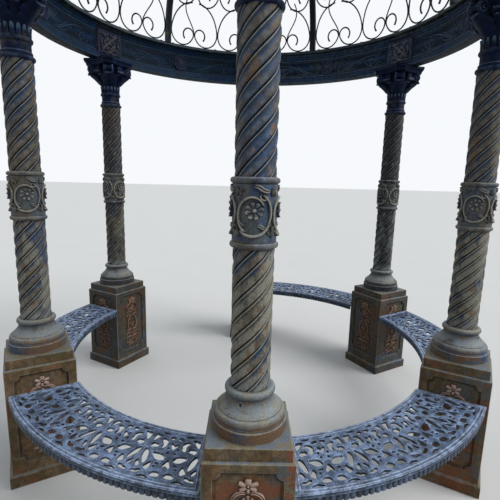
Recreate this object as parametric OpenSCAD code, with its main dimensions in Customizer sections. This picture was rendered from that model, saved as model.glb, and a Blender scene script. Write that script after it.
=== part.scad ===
// Round garden bandstand of cast iron: six twisted columns on square pedestals stand
// in a ring, five curved pierced benches close all bays but the entrance, and a
// panelled frieze ring carries an open dome of ribs and scrolled bars.
// The origin is on the ground at the centre. Column 1 stands on -Y, and the numbers
// run anticlockwise seen from above.

/* [Plan] */
// Radius of the circle on which the column axes stand
ring_r = 1200; // [1100:10:1400]

/* [Pedestal] */
// Width of the square plinth
plinth_w = 324; // [315:1:340]
// Height of the plinth with its bevel
plinth_h = 68; // [40:1:100]
// Height of the bevel on top of the plinth
plinth_bevel = 10; // [4:1:16]
// Width of the square die
die_w = 302; // [292:1:308]
// Height of the die above the plinth
die_h = 513; // [420:1:600]
// Height of the bevel from the die to the cap slab
die_bevel = 6; // [3:1:10]
// Width of the square cap slab
cap_w = 280; // [270:1:288]
// Height of the cap slab
cap_h = 44; // [30:1:60]
// Width of the border beside a sunk panel of the die
panel_side = 36; // [30:1:50]
// Height of the border under a sunk panel
panel_foot = 48; // [30:1:70]
// Height of the border over a sunk panel
panel_head = 26; // [20:1:40]
// Radius of the round notch in each corner of a sunk panel
panel_notch = 26; // [15:1:35]
// Depth of a sunk panel
panel_depth = 8; // [4:1:12]

/* [Column base] */
// Radius of the drum at the foot of the column
drum_r = 128; // [122:1:132]
// Height of the drum
drum_h = 41; // [30:1:50]
// Size of the bevel at the top of the drum
drum_bevel = 3; // [1:1:6]
// Outer radius of the large torus on the drum
big_torus_r = 121; // [114:1:122]
// Radius of the section of the large torus
big_torus_t = 16; // [12:1:18]
// Height of the step between the large torus and the bell
bell_step = 3; // [1:1:6]
// Height of the bell above the large torus
bell_h = 48; // [40:1:60]
// Radius of the foot of the bell
bell_foot_r = 106; // [96:1:108]
// Radius of the neck of the bell
bell_neck_r = 76; // [72:1:80]
// Projection of the torus under the lower shaft from that shaft
base_torus_out = 18; // [16:1:22]
// Radius of the section of the torus under the lower shaft
base_torus_t = 13; // [10:1:14]

/* [Shaft] */
// Radius of the lower shaft over its strands
low_shaft_r = 68; // [62:0.5:70]
// Radius of the upper shaft over its strands
top_shaft_r = 66; // [60:0.5:68]
// Depth of the valleys between the strands
strand_depth = 7; // [4:0.5:9]
// Height in which a strand goes once round the shaft
strand_lead = 400; // [350:10:500]
// Height of the lower shaft
low_shaft_h = 470; // [420:1:520]
// Height of the upper shaft
top_shaft_h = 471; // [420:1:520]

/* [Band] */
// Projection of the two tori that edge the band from the lower shaft
band_torus_out = 10.5; // [10:0.5:13]
// Radius of the section of the band's tori
band_torus_t = 9.5; // [8:0.5:9.5]
// Height of the band's body between its tori
band_h = 180; // [150:1:220]
// Radius of the band's body
band_r = 71; // [69:0.5:73]

/* [Capital] */
// Outer radius of the torus at the foot of the capital
neck_torus_r = 74; // [71:1:80]
// Radius of the section of the neck torus
neck_torus_t = 10; // [8:0.5:12]
// Height of the fillet above the neck torus
neck_fillet_h = 15; // [10:1:20]
// Projection of the fillet from the plain neck
neck_fillet_out = 6; // [3:1:9]
// Radius of the plain neck
neck_r = 58; // [54:1:62]
// Height of the plain neck
neck_h = 38; // [30:1:50]
// Outer radius of the small ring above the neck
collar_ring_r = 65; // [62:1:70]
// Radius of the section of the small ring
collar_ring_t = 8; // [6:0.5:10]
// Height of the leaf collar above the small ring
collar_h = 44; // [36:1:56]
// Height of the bell of the capital up to the abacus
cap_bell_h = 143; // [120:1:170]
// Radius of the bell of the capital under the abacus
cap_bell_r = 96; // [86:1:104]
// Half the width of the abacus from face to face at its corners
abacus_half = 141; // [132:1:144]
// Width of the blunt corner of the abacus
abacus_blunt = 60; // [40:1:70]
// Depth by which the sides of the abacus curve in
abacus_hollow = 22; // [14:1:30]
// Height of the abacus
abacus_h = 43; // [34:1:52]
// Height of the lower, narrower step of the abacus
abacus_step_h = 24; // [16:1:30]
// Distance by which the lower step of the abacus stands back
abacus_step = 10; // [6:1:14]
// Distance of a volute from the column axis
volute_dist = 119; // [112:1:124]
// Radius of a volute
volute_r = 24; // [20:1:27]
// Width of a volute
volute_w = 46; // [36:1:56]
// Distance of a corner leaf's tip from the column axis
leaf_reach = 142; // [130:1:150]
// Width of a corner leaf
leaf_w = 62; // [50:1:72]
// Distance of a corner leaf's tip below the abacus
leaf_drop = 70; // [60:1:80]
// Height of the curled tip of a corner leaf
leaf_curl = 12; // [8:1:16]

/* [Bench] */
// Height of the seat above the ground
seat_z = 468; // [430:1:500]
// Thickness of the seat plate
seat_t = 12; // [8:1:16]
// Width of the seat plate from its inner to its outer edge
seat_w = 300; // [290:1:302]
// Height of the apron that edges the seat
apron_h = 44; // [34:1:60]
// Thickness of the apron
apron_t = 9; // [6:1:12]
// Width of the closed rim inside the seat's edges
seat_rim = 32; // [26:1:38]
// Number of times the pierced pattern repeats along a seat
seat_cells = 4; // [3:1:5]
// Length of a long leaf-shaped hole
leaf_hole_l = 70; // [50:1:80]
// Width of a long leaf-shaped hole
leaf_hole_w = 18; // [12:1:22]

/* [Frieze] */
// Distance from the circle of the columns out to the inner face of the frieze
frieze_set = 2; // [-10:1:12]
// Thickness of the frieze between its faces
frieze_t = 48; // [40:1:60]
// Height of the frieze
frieze_h = 224; // [200:1:250]
// Height of the moulded lip at the foot of the frieze
lip_h = 46; // [36:1:56]
// Projection of the lip from the face
lip_out = 12; // [8:1:16]
// Height of the cornice at the head of the frieze
cornice_h = 40; // [30:1:50]
// Projection of the cornice from the face
cornice_out = 10; // [6:1:14]
// Width of the border round a sunk face
face_border = 10; // [6:1:16]
// Depth of a sunk face
face_sink = 5; // [3:1:8]
// Width of the block over each column
block_w = 212; // [190:1:230]
// Width of the plain strip between a block and the joint beside it
block_margin = 5; // [3:1:8]
// Projection of the block from the face
block_out = 5; // [3:1:7]
// Distance from the block to the lip and the cornice
block_inset = 3; // [2:1:6]
// Radius of the round boss at the middle of each bay
roundel_r = 58; // [45:1:62]
// Projection of the round boss from the face
roundel_out = 6; // [4:1:8]

/* [Dome] */
// Distance by which the curb ring stands inside the inner face of the frieze
curb_set = 39; // [34:1:42]
// Width of the curb ring
curb_w = 44; // [38:1:50]
// Height of the curb ring
curb_h = 20; // [14:1:26]
// Angle by which the dome is turned from the columns
dome_turn = 5.9; // [0:0.1:10]
// Distance by which the ribs' feet stand inside the curb ring
rib_set = 7; // [2:1:12]
// Height of the dome from the curb ring to the inner side of the ribs at the crown
dome_h = 1020; // [900:10:1150]
// Width of a rib along the ring
rib_w = 46; // [36:1:56]
// Depth of a rib from its inner to its outer side
rib_t = 24; // [16:1:30]
// Thickness of the scrolled bars
bar_t = 11; // [8:0.5:13]
// Clearance between the scrolled bars and the ribs
bar_gap = 0.3; // [0.2:0.1:0.5]
// Height by which a tier of scrolls reaches down into the tier below
tier_overlap = 24; // [20:1:28]
// Radius of the crown plate that joins the ribs
crown_r = 120; // [100:1:140]
// Height of the crown plate
crown_h = 36; // [30:1:44]
// Distance of the crown plate's foot below the top of the dome's inner side
crown_drop = 6; // [5:0.5:10]
// Radius of the stalk under the ball
stalk_r = 24; // [18:1:30]
// Height of the stalk from the crown plate to the ball
stalk_h = 20; // [14:1:30]
// Radius of the ball on the crown
ball_r = 52; // [40:1:60]
// Height of the spike on the ball
spike_h = 130; // [90:1:170]

/* [Hidden] */
COLUMNS = [1, 2, 3, 4, 5, 6];
BENCH_BAYS = [1, 2, 3, 5, 6];
function numbered(word, list) = [for (k = list) str(word, "_", k)];

$fn = 96;
bay_angle = 360 / len(COLUMNS);
strands = 7;
slice_turn = 28;

// Heights of the seats between the stacked pieces
die_top = plinth_h + die_h;
pedestal_top = die_top + die_bevel + cap_h;
base_top = pedestal_top + drum_h + 2 * big_torus_t + bell_step + bell_h + 2 * base_torus_t;
band_foot = base_top + low_shaft_h;
band_top = band_foot + 4 * band_torus_t + band_h;
column_top = band_top + top_shaft_h;
neck_foot = column_top + 2 * neck_torus_t;
collar_foot = neck_foot + neck_fillet_h + neck_h;
collar_top = collar_foot + 2 * collar_ring_t + collar_h;
abacus_foot = collar_top + cap_bell_h;
frieze_foot = abacus_foot + abacus_h;
frieze_top = frieze_foot + frieze_h;
curb_top = frieze_top + curb_h;

// Radius and height of the plugs inside the column
plug_r = low_shaft_r / 2;
plug_h = 2 * base_torus_t;

// Radii of the frieze's inner face, the curb ring's inner edge and the ribs' inner side
frieze_r = ring_r + frieze_set;
curb_r = frieze_r - curb_set;
rib_r = curb_r - rib_set;

// Places the children at column k, with -Y pointing outwards
module at_column(k) rotate([0, 0, (k - 1) * bay_angle]) translate([0, -ring_r, 0]) children();

// A quarter or half round bead on the profile of a turned piece, from its centre
function bead(r, z, t, from, to, steps = 12) =
    [for (i = [0:steps]) let (a = from + (to - from) * i / steps) [r + t * cos(a), z + t * sin(a)]];

// Pedestal

// Outline of a sunk panel with a round notch in each corner
module panel_outline(w, h, notch) difference() {
    square([w, h], center = true);
    for (sx = [-1, 1])
        for (sy = [-1, 1])
            translate([sx * w / 2, sy * h / 2]) circle(r = notch);
}

module frustum(w0, w1, h) linear_extrude(h, scale = w1 / w0) square(w0, center = true);

module pedestal(k) color("darkolivegreen") at_column(k) {
    panel_w = die_w - 2 * panel_side;
    panel_h = die_h - panel_foot - panel_head;
    panel_z = plinth_h + panel_foot + panel_h / 2;
    difference() {
        union() {
            linear_extrude(plinth_h - plinth_bevel) square(plinth_w, center = true);
            translate([0, 0, plinth_h - plinth_bevel]) frustum(plinth_w, die_w, plinth_bevel);
            translate([0, 0, plinth_h]) linear_extrude(die_h) square(die_w, center = true);
            translate([0, 0, die_top]) frustum(die_w, cap_w, die_bevel);
            translate([0, 0, die_top + die_bevel]) linear_extrude(cap_h) square(cap_w, center = true);
        }
        for (q = [0:3])
            rotate([0, 0, 90 * q])
                translate([0, -die_w / 2 + panel_depth, panel_z])
                    rotate([90, 0, 0])
                        linear_extrude(panel_depth + 1) panel_outline(panel_w, panel_h, panel_notch);
    }
}

// Column

// Turned foot of the column: drum, fillet, large torus, hollow bell and torus
module column_foot() {
    torus_z = pedestal_top + drum_h + big_torus_t;
    bell_z = torus_z + big_torus_t + bell_step;
    top_z = bell_z + bell_h + base_torus_t;
    bell = [for (i = [0:8]) let (s = i / 8)
        [bell_neck_r + (bell_foot_r - bell_neck_r) * pow(1 - s, 1.6), bell_z + bell_h * s]];
    rotate_extrude() polygon(concat(
        [[0, pedestal_top], [drum_r, pedestal_top], [drum_r, pedestal_top + drum_h - drum_bevel],
         [drum_r - drum_bevel, pedestal_top + drum_h]],
        bead(big_torus_r - big_torus_t, torus_z, big_torus_t, -90, 90),
        bell,
        bead(low_shaft_r + base_torus_out - base_torus_t, top_z, base_torus_t, -90, 90),
        [[0, top_z + base_torus_t]]));
}

// Section of a twisted shaft: one crest and one valley for each strand
module strand_section(r) {
    points = 2 * strands;
    polygon([for (i = [0:points - 1]) let (a = 360 * i / points)
        (i % 2 == 0 ? r - strand_depth : r) * [cos(a), sin(a)]]);
}

module twisted(r, h) {
    turn = 360 * h / strand_lead;
    linear_extrude(h, twist = -turn, slices = ceil(turn / slice_turn), segments = 2 * strands)
        strand_section(r);
}

// Turned band between the two shafts, with a torus at each edge
module column_band() {
    low_z = band_foot + band_torus_t;
    high_z = band_top - band_torus_t;
    bead_r = low_shaft_r + band_torus_out - band_torus_t;
    rotate_extrude() polygon(concat(
        [[0, band_foot]],
        bead(bead_r, low_z, band_torus_t, -90, 60),
        [[band_r, low_z + band_torus_t], [band_r, high_z - band_torus_t]],
        bead(bead_r, high_z, band_torus_t, -60, 90),
        [[0, band_top]]));
}

// Plugs inside the column that tie the shafts to its foot and to its band
module column_plugs() for (z = [base_top, band_foot, band_top])
    translate([0, 0, z - plug_h / 2]) cylinder(r = plug_r, h = plug_h);

module column(k) color("slategray") at_column(k) {
    column_plugs();
    column_foot();
    translate([0, 0, base_top]) twisted(low_shaft_r, low_shaft_h);
    column_band();
    translate([0, 0, band_top]) twisted(top_shaft_r, top_shaft_h);
}

// Capital

// Outline of the abacus: a square with blunt corners and sides that curve in
module abacus_outline(half) {
    side = half - abacus_blunt / sqrt(2);
    hollow_r = (side * side + abacus_hollow * abacus_hollow) / (2 * abacus_hollow);
    difference() {
        intersection() {
            square(2 * half, center = true);
            rotate(45) square(sqrt(2) * (half + side), center = true);
        }
        for (q = [0:3])
            rotate(90 * q) translate([0, -half - hollow_r + abacus_hollow]) circle(r = hollow_r, $fn = 180);
    }
}

// Leaf under a volute, drawn in the upright plane through the corner: it rises from the
// collar, leans out to its tip and curls back to the bell
module corner_leaf() {
    tip_z = abacus_foot - leaf_drop;
    root_r = neck_r * 0.8;
    bend_r = neck_r + (leaf_reach - neck_r) * 0.43;
    rotate([90, 0, 0]) linear_extrude(leaf_w, center = true) polygon([
        [root_r, collar_top],
        [neck_r + 2, collar_top + leaf_curl],
        [bend_r, tip_z - 2.4 * leaf_curl],
        [leaf_reach - leaf_curl / 2, tip_z - leaf_curl / 2],
        [leaf_reach, tip_z],
        [leaf_reach - leaf_curl / 2, tip_z + leaf_curl / 2],
        [leaf_reach - 2 * leaf_curl, tip_z + leaf_curl],
        [cap_bell_r * 0.75, tip_z + 3 * leaf_curl],
        [root_r, tip_z + 3 * leaf_curl]]);
}

// Turned core of the capital: neck torus, fillet, plain neck, ring, collar and bell
module capital_core() {
    fillet_r = neck_r + neck_fillet_out;
    ring_z = collar_foot + collar_ring_t;
    collar_edge = collar_h * 0.15;
    bell_low_r = neck_r - 2;
    rotate_extrude() polygon(concat(
        [[0, column_top]],
        bead(neck_torus_r - neck_torus_t, column_top + neck_torus_t, neck_torus_t, -90, 90),
        [[fillet_r, neck_foot], [fillet_r, neck_foot + neck_fillet_h],
         [neck_r, neck_foot + neck_fillet_h], [neck_r, collar_foot]],
        bead(collar_ring_r - collar_ring_t, ring_z, collar_ring_t, -80, 80),
        [[neck_r, ring_z + collar_ring_t], [neck_r, collar_top - 2 * collar_edge],
         [collar_ring_r, collar_top - collar_edge], [collar_ring_r, collar_top],
         [bell_low_r, collar_top]],
        [for (i = [1:8]) let (s = i / 8)
            [bell_low_r + (cap_bell_r - bell_low_r) * pow(s, 1.7), collar_top + cap_bell_h * s]],
        [[0, abacus_foot]]));
}

// One corner of the capital: the leaf, the volute above it and the arm that holds it
module capital_corner() {
    arm_h = volute_r * 1.15;
    corner_leaf();
    translate([volute_dist, 0, abacus_foot - volute_r])
        rotate([90, 0, 0]) cylinder(r = volute_r, h = volute_w, center = true);
    translate([neck_r, -volute_w / 2, abacus_foot - arm_h])
        cube([volute_dist - neck_r, volute_w, arm_h]);
}

module capital(k) color("midnightblue") at_column(k) {
    capital_core();
    for (q = [0:3]) rotate([0, 0, 45 + 90 * q]) capital_corner();
    translate([0, 0, abacus_foot]) linear_extrude(abacus_step_h) abacus_outline(abacus_half - abacus_step);
    translate([0, 0, abacus_foot + abacus_step_h])
        linear_extrude(abacus_h - abacus_step_h) abacus_outline(abacus_half);
}

// Bench

// A leaf with two points: the overlap of two equal circles
module leaf(l, w) {
    r = (l * l + w * w) / (4 * w);
    intersection() {
        translate([r - w / 2, 0]) circle(r = r);
        translate([w / 2 - r, 0]) circle(r = r);
    }
}

// Puts the children at radius r and angle a from the middle of a bay
module on_seat(r, a) rotate(a) translate([0, -r]) children();

// Holes in each half of a repeat: share of the half repeat, distance out from the middle
// of the seat as a share of its width, turn, and length and width as shares of a long hole's
HALF_HOLES = [
    [0.80, 0.020, -8, 1, 1],
    [0.38, -0.007, 62, 0.8, 1.7],
    [0.48, -0.293, 90, 0.62, 0.8],
    [0.66, 0.313, 74, 0.7, 1]];
// Round eyes in each half of a repeat: share, distance as above, radius as a share
EYES = [
    [0.70, -0.167, 0.62],
    [0.24, 0.253, 0.75]];
// Holes on the middle line of a repeat: distance as above and length as a share
MIDDLE_HOLES = [
    [0.107, 0.5],
    [-0.187, 0.7]];

// Holes of one repeat of the pattern, centred on the angle a
module seat_holes(a, half_angle) {
    for (s = [-1, 1]) {
        for (h = HALF_HOLES)
            on_seat(ring_r + h[1] * seat_w, a + s * half_angle * h[0])
                rotate(s * h[2]) leaf(leaf_hole_l * h[3], leaf_hole_w * h[4]);
        for (h = EYES)
            on_seat(ring_r + h[1] * seat_w, a + s * half_angle * h[0]) circle(r = leaf_hole_w * h[2]);
    }
    for (h = MIDDLE_HOLES) on_seat(ring_r + h[0] * seat_w, a) leaf(leaf_hole_l * h[1], leaf_hole_w);
}

// The part of a ring between two radii, cut off at the sides of the pedestals
module bay_ring(r0, r1) {
    reach = r1 * 1.2;
    intersection() {
        difference() {
            circle(r = r1, $fn = 360);
            circle(r = r0, $fn = 360);
        }
        intersection_for (s = [-1, 1])
            rotate(s * bay_angle / 2)
                translate([s > 0 ? -reach - die_w / 2 : die_w / 2, -reach])
                    square([reach, reach]);
    }
}

module bench(k) color("lightsteelblue") rotate([0, 0, (k - 0.5) * bay_angle]) {
    r0 = ring_r - seat_w / 2;
    r1 = ring_r + seat_w / 2;
    end_angle = asin((die_w / 2 + seat_rim) / ring_r);
    cell_angle = (bay_angle - 2 * end_angle) / seat_cells;
    translate([0, 0, seat_z - seat_t]) linear_extrude(seat_t) difference() {
        bay_ring(r0, r1);
        for (i = [0:seat_cells - 1])
            seat_holes((i - (seat_cells - 1) / 2) * cell_angle, cell_angle / 2);
    }
    translate([0, 0, seat_z - apron_h]) linear_extrude(apron_h - seat_t) {
        bay_ring(r0, r0 + apron_t);
        bay_ring(r1 - apron_t, r1);
    }
}

// Frieze

// Section of the frieze, the same on both faces: stepped lip, plain face, cornice
module frieze_section(r, t) {
    step = lip_h / 4;
    ledge = step / 3;
    cornice_z = frieze_h - cornice_h;
    inner = [
        [r - lip_out, 0], [r - lip_out, step], [r - lip_out * 0.75, step + ledge],
        [r - lip_out / 2, 2 * step], [r - lip_out / 2, 2 * step + ledge], [r, lip_h],
        [r, cornice_z], [r - cornice_out / 2, cornice_z + cornice_h * 0.3],
        [r - cornice_out / 2, cornice_z + cornice_h * 0.55], [r - cornice_out, cornice_z + cornice_h * 0.7],
        [r - cornice_out, frieze_h]];
    mid = r + t / 2;
    outer = [for (i = [len(inner) - 1:-1:0]) [2 * mid - inner[i][0], inner[i][1]]];
    polygon(concat(inner, outer));
}

// Turns a section on the ring from position angle a over the given angle
module ring_part(a, angle) rotate([0, 0, a - 90]) rotate_extrude(angle = angle, $fn = 360) children();

// One bay of the frieze: the block over its column, then the panel with the round boss
module frieze(k) color("darkslategray") translate([0, 0, frieze_foot]) {
    margin = block_margin / ring_r * 180 / PI;
    half_block = asin(block_w / 2 / ring_r) + margin;
    start = (k - 1) * bay_angle - half_block;
    face_h = frieze_h - lip_h - cornice_h;
    sunk_h = face_h - 2 * face_border;
    difference() {
        ring_part(start, bay_angle) frieze_section(frieze_r, frieze_t);
        ring_part(start + 2 * half_block + margin, bay_angle - 2 * half_block - 2 * margin)
            for (r = [frieze_r - face_sink, frieze_r + frieze_t - face_sink])
                translate([r, lip_h + face_border]) square([2 * face_sink, sunk_h]);
    }
    ring_part(start + margin, 2 * half_block - 2 * margin)
        translate([frieze_r - block_out, lip_h + block_inset])
            square([frieze_t + 2 * block_out, face_h - 2 * block_inset]);
    rotate([0, 0, (k - 0.5) * bay_angle])
        translate([0, -frieze_r + roundel_out, lip_h + face_h / 2])
            rotate([90, 0, 0]) cylinder(r = roundel_r, h = frieze_t + 2 * roundel_out);
}

// Dome

module curb_ring() color("midnightblue") translate([0, 0, frieze_top])
    rotate_extrude($fn = 360) translate([curb_r, 0]) square([curb_w, curb_h]);

// Place on the dome's shell at elevation e, as radius and height above the curb ring
function shell(e, out) = [(rib_r + out) * cos(e), (dome_h + out) * sin(e)];

module rib(k) color("midnightblue") {
    top_e = acos(crown_r / rib_r);
    steps = 24;
    inner = [for (i = [0:steps]) shell(top_e * i / steps, 0)];
    outer = [for (i = [steps:-1:0]) shell(top_e * i / steps, rib_t)];
    rotate([0, 0, (k - 1) * bay_angle + dome_turn + bay_angle / 2 - 90])
        translate([0, 0, curb_top])
            rotate([90, 0, 0])
                linear_extrude(rib_w, center = true) intersection() {
                    polygon(concat(inner, outer));
                    translate([crown_r, 0]) square([rib_r, dome_h + rib_t]);
                }
}

// A scrolled bar lies on the shell along points of side step x and height y, both in
// millimetres along the shell at the foot of the dome
function shell_point(p, mid_angle, out) =
    let (e = p[1] / dome_h * 180 / PI,
         a = mid_angle + p[0] / (rib_r + rib_t / 2) * 180 / PI,
         q = shell(e, rib_t / 2 + out))
    [q[0] * sin(a), -q[0] * cos(a), curb_top + q[1]];

function unit(v) = v / norm(v);

// One square bar along the points, with its faces square to the shell
module bar(points, mid_angle, t) {
    n = len(points);
    mid = [for (p = points) shell_point(p, mid_angle, 0)];
    up = [for (p = points) unit(shell_point(p, mid_angle, 1) - shell_point(p, mid_angle, 0))];
    along = [for (i = [0:n - 1]) unit(mid[min(i + 1, n - 1)] - mid[max(i - 1, 0)])];
    side = [for (i = [0:n - 1]) unit(cross(along[i], up[i]))];
    ring = [for (i = [0:n - 1]) for (c = [[-1, -1], [1, -1], [1, 1], [-1, 1]])
        mid[i] + (side[i] * c[0] + up[i] * c[1]) * t / 2];
    walls = [for (i = [0:n - 2]) for (j = [0:3])
        [4 * i + j, 4 * i + (j + 1) % 4, 4 * i + 4 + (j + 1) % 4, 4 * i + 4 + j]];
    polyhedron(ring, concat([[3, 2, 1, 0]], walls, [[4 * n - 4, 4 * n - 3, 4 * n - 2, 4 * n - 1]]));
}

// Points of an elliptic arc
function arc(c, rx, ry, from, to, steps) =
    [for (i = [0:steps]) let (a = from + (to - from) * i / steps) [c[0] + rx * cos(a), c[1] + ry * sin(a)]];

// One C-scroll, drawn for the left half of a cell of half width w and height h, with
// its foot at the height y0: a curl, a round foot and a long side up to the middle
function c_scroll(w, h, y0) =
    let (foot = h * 0.32, curl = w * 0.22, lean = w * 0.11)
    concat(
        arc([-curl - bar_t * 0.4, y0 + foot * 0.86], curl, foot * 0.46, 205, 10, 4),
        arc([-w / 2, y0 + foot], w / 2 - bar_t / 2, foot - bar_t / 2, -40, -162, 3),
        arc([-lean, y0 + foot], w - lean - bar_t / 2, h - foot, 152, 92, 2));

function mirrored(points) = [for (i = [len(points) - 1:-1:0]) [-points[i][0], points[i][1]]];
function moved(points, x) = [for (p = points) [p[0] + x, p[1]]];

// Wavy stem that rises between the two scrolls of a cell
function stem(w, h, y0, hand) =
    [for (i = [0:4]) let (s = i / 4) [hand * w * 0.42 * pow(sin(118 * s), 2), y0 + h * (0.27 + 0.85 * s)]];

// Half of a panel's width at the height y, clear of the rib, measured along the foot
function panel_half(y) =
    (rib_r + rib_t / 2) * PI * bay_angle / 360 - rib_w / 2 / cos(y / dome_h * 180 / PI) - bar_gap;

// Tiers of cells from the foot of a panel: height as a share of the dome's, the places of
// the cells' middles in half widths of a cell, the number of half widths in half a panel,
// and whether the cells have stems
TIERS = [
    [0.304, [-2, 0, 2], 3, true],
    [0.324, [-3, -1, 1, 3], 3, true],
    [0.324, [-1, 1], 2, false],
    [0.510, [0], 1.43, false]];
function tier_h(i) = TIERS[i][0] * dome_h;
function tier_foot(i) = i == 0 ? 0 : tier_foot(i - 1) + tier_h(i - 1) - tier_overlap;

module scroll_panel(k) color("midnightblue") {
    mid = k * bay_angle + dome_turn;
    for (i = [0:len(TIERS) - 1]) {
        y0 = tier_foot(i);
        h = tier_h(i);
        cells = TIERS[i][2];
        half = panel_half(y0 + 0.32 * h);
        w = half / cells;
        left = c_scroll(w, h, y0);
        for (place = TIERS[i][1]) {
            at_rib = abs(place) == cells;
            x = at_rib ? sign(place) * (half - bar_t * 0.1) : place * w;
            if (place > -cells) bar(moved(left, x), mid, bar_t);
            if (place < cells) bar(moved(mirrored(left), x), mid, bar_t);
            if (TIERS[i][3] && !at_rib) bar(moved(stem(w, h, y0, place > 0 ? 1 : -1), x), mid, bar_t);
        }
    }
}

module crown() color("midnightblue") {
    foot = curb_top + dome_h - crown_drop;
    top = foot + crown_h;
    ball_z = top + stalk_h + ball_r;
    spike_r = ball_r / 10;
    rotate_extrude() polygon(concat(
        [[0, foot], [crown_r, foot], [crown_r, top - crown_drop], [crown_r * 0.88, top],
         [stalk_r * 1.4, top], [stalk_r, top + stalk_h]],
        bead(0, ball_z, ball_r, -62, 80),
        [[spike_r, ball_z + ball_r + spike_h * 0.9], [0, ball_z + ball_r + spike_h]]));
}

for (k = COLUMNS) pedestal(k);
for (k = COLUMNS) column(k);
for (k = COLUMNS) capital(k);
for (k = BENCH_BAYS) bench(k);
for (k = COLUMNS) frieze(k);
curb_ring();
for (k = COLUMNS) rib(k);
for (k = COLUMNS) scroll_panel(k);
crown();
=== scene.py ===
"""Round garden bandstand in cast iron: six twisted columns on square pedestals, five pierced
benches, a panelled frieze ring and an open dome of ribs and scrolled bars.

Every piece is a surface worked out with arrays, in metres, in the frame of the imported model.
"""

import math

import bmesh
import bpy
import numpy as np
from mathutils import Matrix, Vector
from mathutils.geometry import delaunay_2d_cdt


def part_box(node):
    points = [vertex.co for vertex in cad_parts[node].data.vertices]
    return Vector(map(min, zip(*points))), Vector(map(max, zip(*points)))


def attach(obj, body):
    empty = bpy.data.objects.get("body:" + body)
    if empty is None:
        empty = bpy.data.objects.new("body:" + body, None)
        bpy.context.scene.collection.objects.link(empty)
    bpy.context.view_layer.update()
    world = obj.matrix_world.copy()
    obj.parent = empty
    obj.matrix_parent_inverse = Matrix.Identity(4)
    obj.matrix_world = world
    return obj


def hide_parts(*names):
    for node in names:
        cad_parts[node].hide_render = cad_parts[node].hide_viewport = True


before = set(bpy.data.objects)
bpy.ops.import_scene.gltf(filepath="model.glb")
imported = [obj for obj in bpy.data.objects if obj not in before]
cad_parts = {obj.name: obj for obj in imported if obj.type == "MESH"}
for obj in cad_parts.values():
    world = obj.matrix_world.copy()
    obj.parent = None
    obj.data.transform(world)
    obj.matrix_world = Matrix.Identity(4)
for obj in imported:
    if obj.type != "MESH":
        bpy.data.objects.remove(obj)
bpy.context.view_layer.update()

# Sizes from the frame
MM = 0.001
COLUMNS = range(1, 7)
BENCH_BAYS = (1, 2, 3, 5, 6)
BAY = math.radians(60)


def node_box(node):
    """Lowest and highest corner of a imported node, as arrays."""
    low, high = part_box(node)
    return np.array(low), np.array(high)


pedestal_low, pedestal_high = node_box("pedestal_1")
RING_R = -(pedestal_low[1] + pedestal_high[1]) / 2
PLINTH_HALF = (pedestal_high[0] - pedestal_low[0]) / 2
PEDESTAL_TOP = pedestal_high[2]
COLUMN_TOP = node_box("column_1")[1][2]
SEAT_TOP = node_box("bench_1")[1][2]
SEAT_FOOT = node_box("bench_1")[0][2]
FRIEZE_TOP = node_box("frieze_1")[1][2]
CURB_TOP = node_box("curb_ring")[1][2]
CROWN_FOOT = node_box("crown")[0][2]
CROWN_R = node_box("crown")[1][0]

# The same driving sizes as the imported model's
DIE_HALF = 151 * MM
DIE_FOOT = 68 * MM
DIE_TOP = 581 * MM
DOME_TURN = math.radians(5.9)
STRANDS = 7
STRAND_LEAD = 400 * MM
TWO_PI = 2 * math.pi

# Lengths along the seats and the frieze, in millimetres, are measured at this radius
GIRTH_R = 1200


# Arrays and meshes


class Sheet:
    """Part of a surface: corner points, faces of four corners (or of three, with -1 as the fourth), and a
    value at each point that gives pale wear where it is high and painted shade where it is low."""

    def __init__(self, points, quads, wear_and_shade):
        self.points = points
        self.quads = quads
        self.wear_and_shade = wear_and_shade

    def placed(self, move):
        """The same sheet with its points carried through a function."""
        return Sheet(move(self.points), self.quads, self.wear_and_shade)

    def raised(self, rise):
        """The same sheet, higher up."""
        return Sheet(self.points + [0, 0, rise], self.quads, self.wear_and_shade)


def grid(points, wear_and_shade=0.0, close_u=False, close_v=False):
    """A sheet from an array of points (rows, columns, 3). A face joins corner (i, j) to its
    neighbours in the next row and column, and a closed direction joins its end to its start."""
    rows, columns = points.shape[:2]
    i = np.arange(rows if close_u else rows - 1)[:, None]
    j = np.arange(columns if close_v else columns - 1)[None, :]
    i_next, j_next = (i + 1) % rows, (j + 1) % columns
    corners = [i * columns + j, i_next * columns + j, i_next * columns + j_next, i * columns + j_next]
    quads = np.stack(corners, axis=-1).reshape(-1, 4)
    wear_and_shade = np.broadcast_to(np.asarray(wear_and_shade, float), (rows, columns)).reshape(-1)
    return Sheet(points.reshape(-1, 3), quads, wear_and_shade)


def joined(sheets):
    """Several sheets as one."""
    starts = np.cumsum([0] + [len(s.points) for s in sheets[:-1]])
    quads = [np.where(s.quads < 0, -1, s.quads + start) for s, start in zip(sheets, starts)]
    return Sheet(
        np.concatenate([s.points for s in sheets]),
        np.concatenate(quads),
        np.concatenate([s.wear_and_shade for s in sheets]),
    )


def round_angles(count):
    """Equal steps of a full turn, as a column."""
    return np.linspace(0, TWO_PI, count, endpoint=False)[:, None]


def about_axis(r, a, z):
    """Points at a radius, an angle and a height about the Z axis, each a number or an array."""
    return np.stack(np.broadcast_arrays(r * np.cos(a), r * np.sin(a), z), axis=-1)


def at_height(flat, z):
    """Flat points at one height, or at a height each."""
    return np.column_stack([flat, np.full(len(flat), z)])


def unit(vectors):
    """The same directions, each of length 1."""
    return vectors / np.linalg.norm(vectors, axis=-1, keepdims=True)


def heading(path):
    """The direction along a path at each of its points."""
    return unit(np.gradient(path, axis=0))


def held(values, mode="edge"):
    """Columns with one more at each end: the same again, or zeros with the mode constant."""
    return np.pad(values, ((0, 0), (1, 1)), mode)


def closed_ends(points):
    """A strip's points with one more row at each end, all at the middle of that end."""
    points = np.pad(points, ((1, 1), (0, 0), (0, 0)), "edge")
    points[[0, -1]] = points[[0, -1]].mean(axis=1, keepdims=True)
    return points


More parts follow.
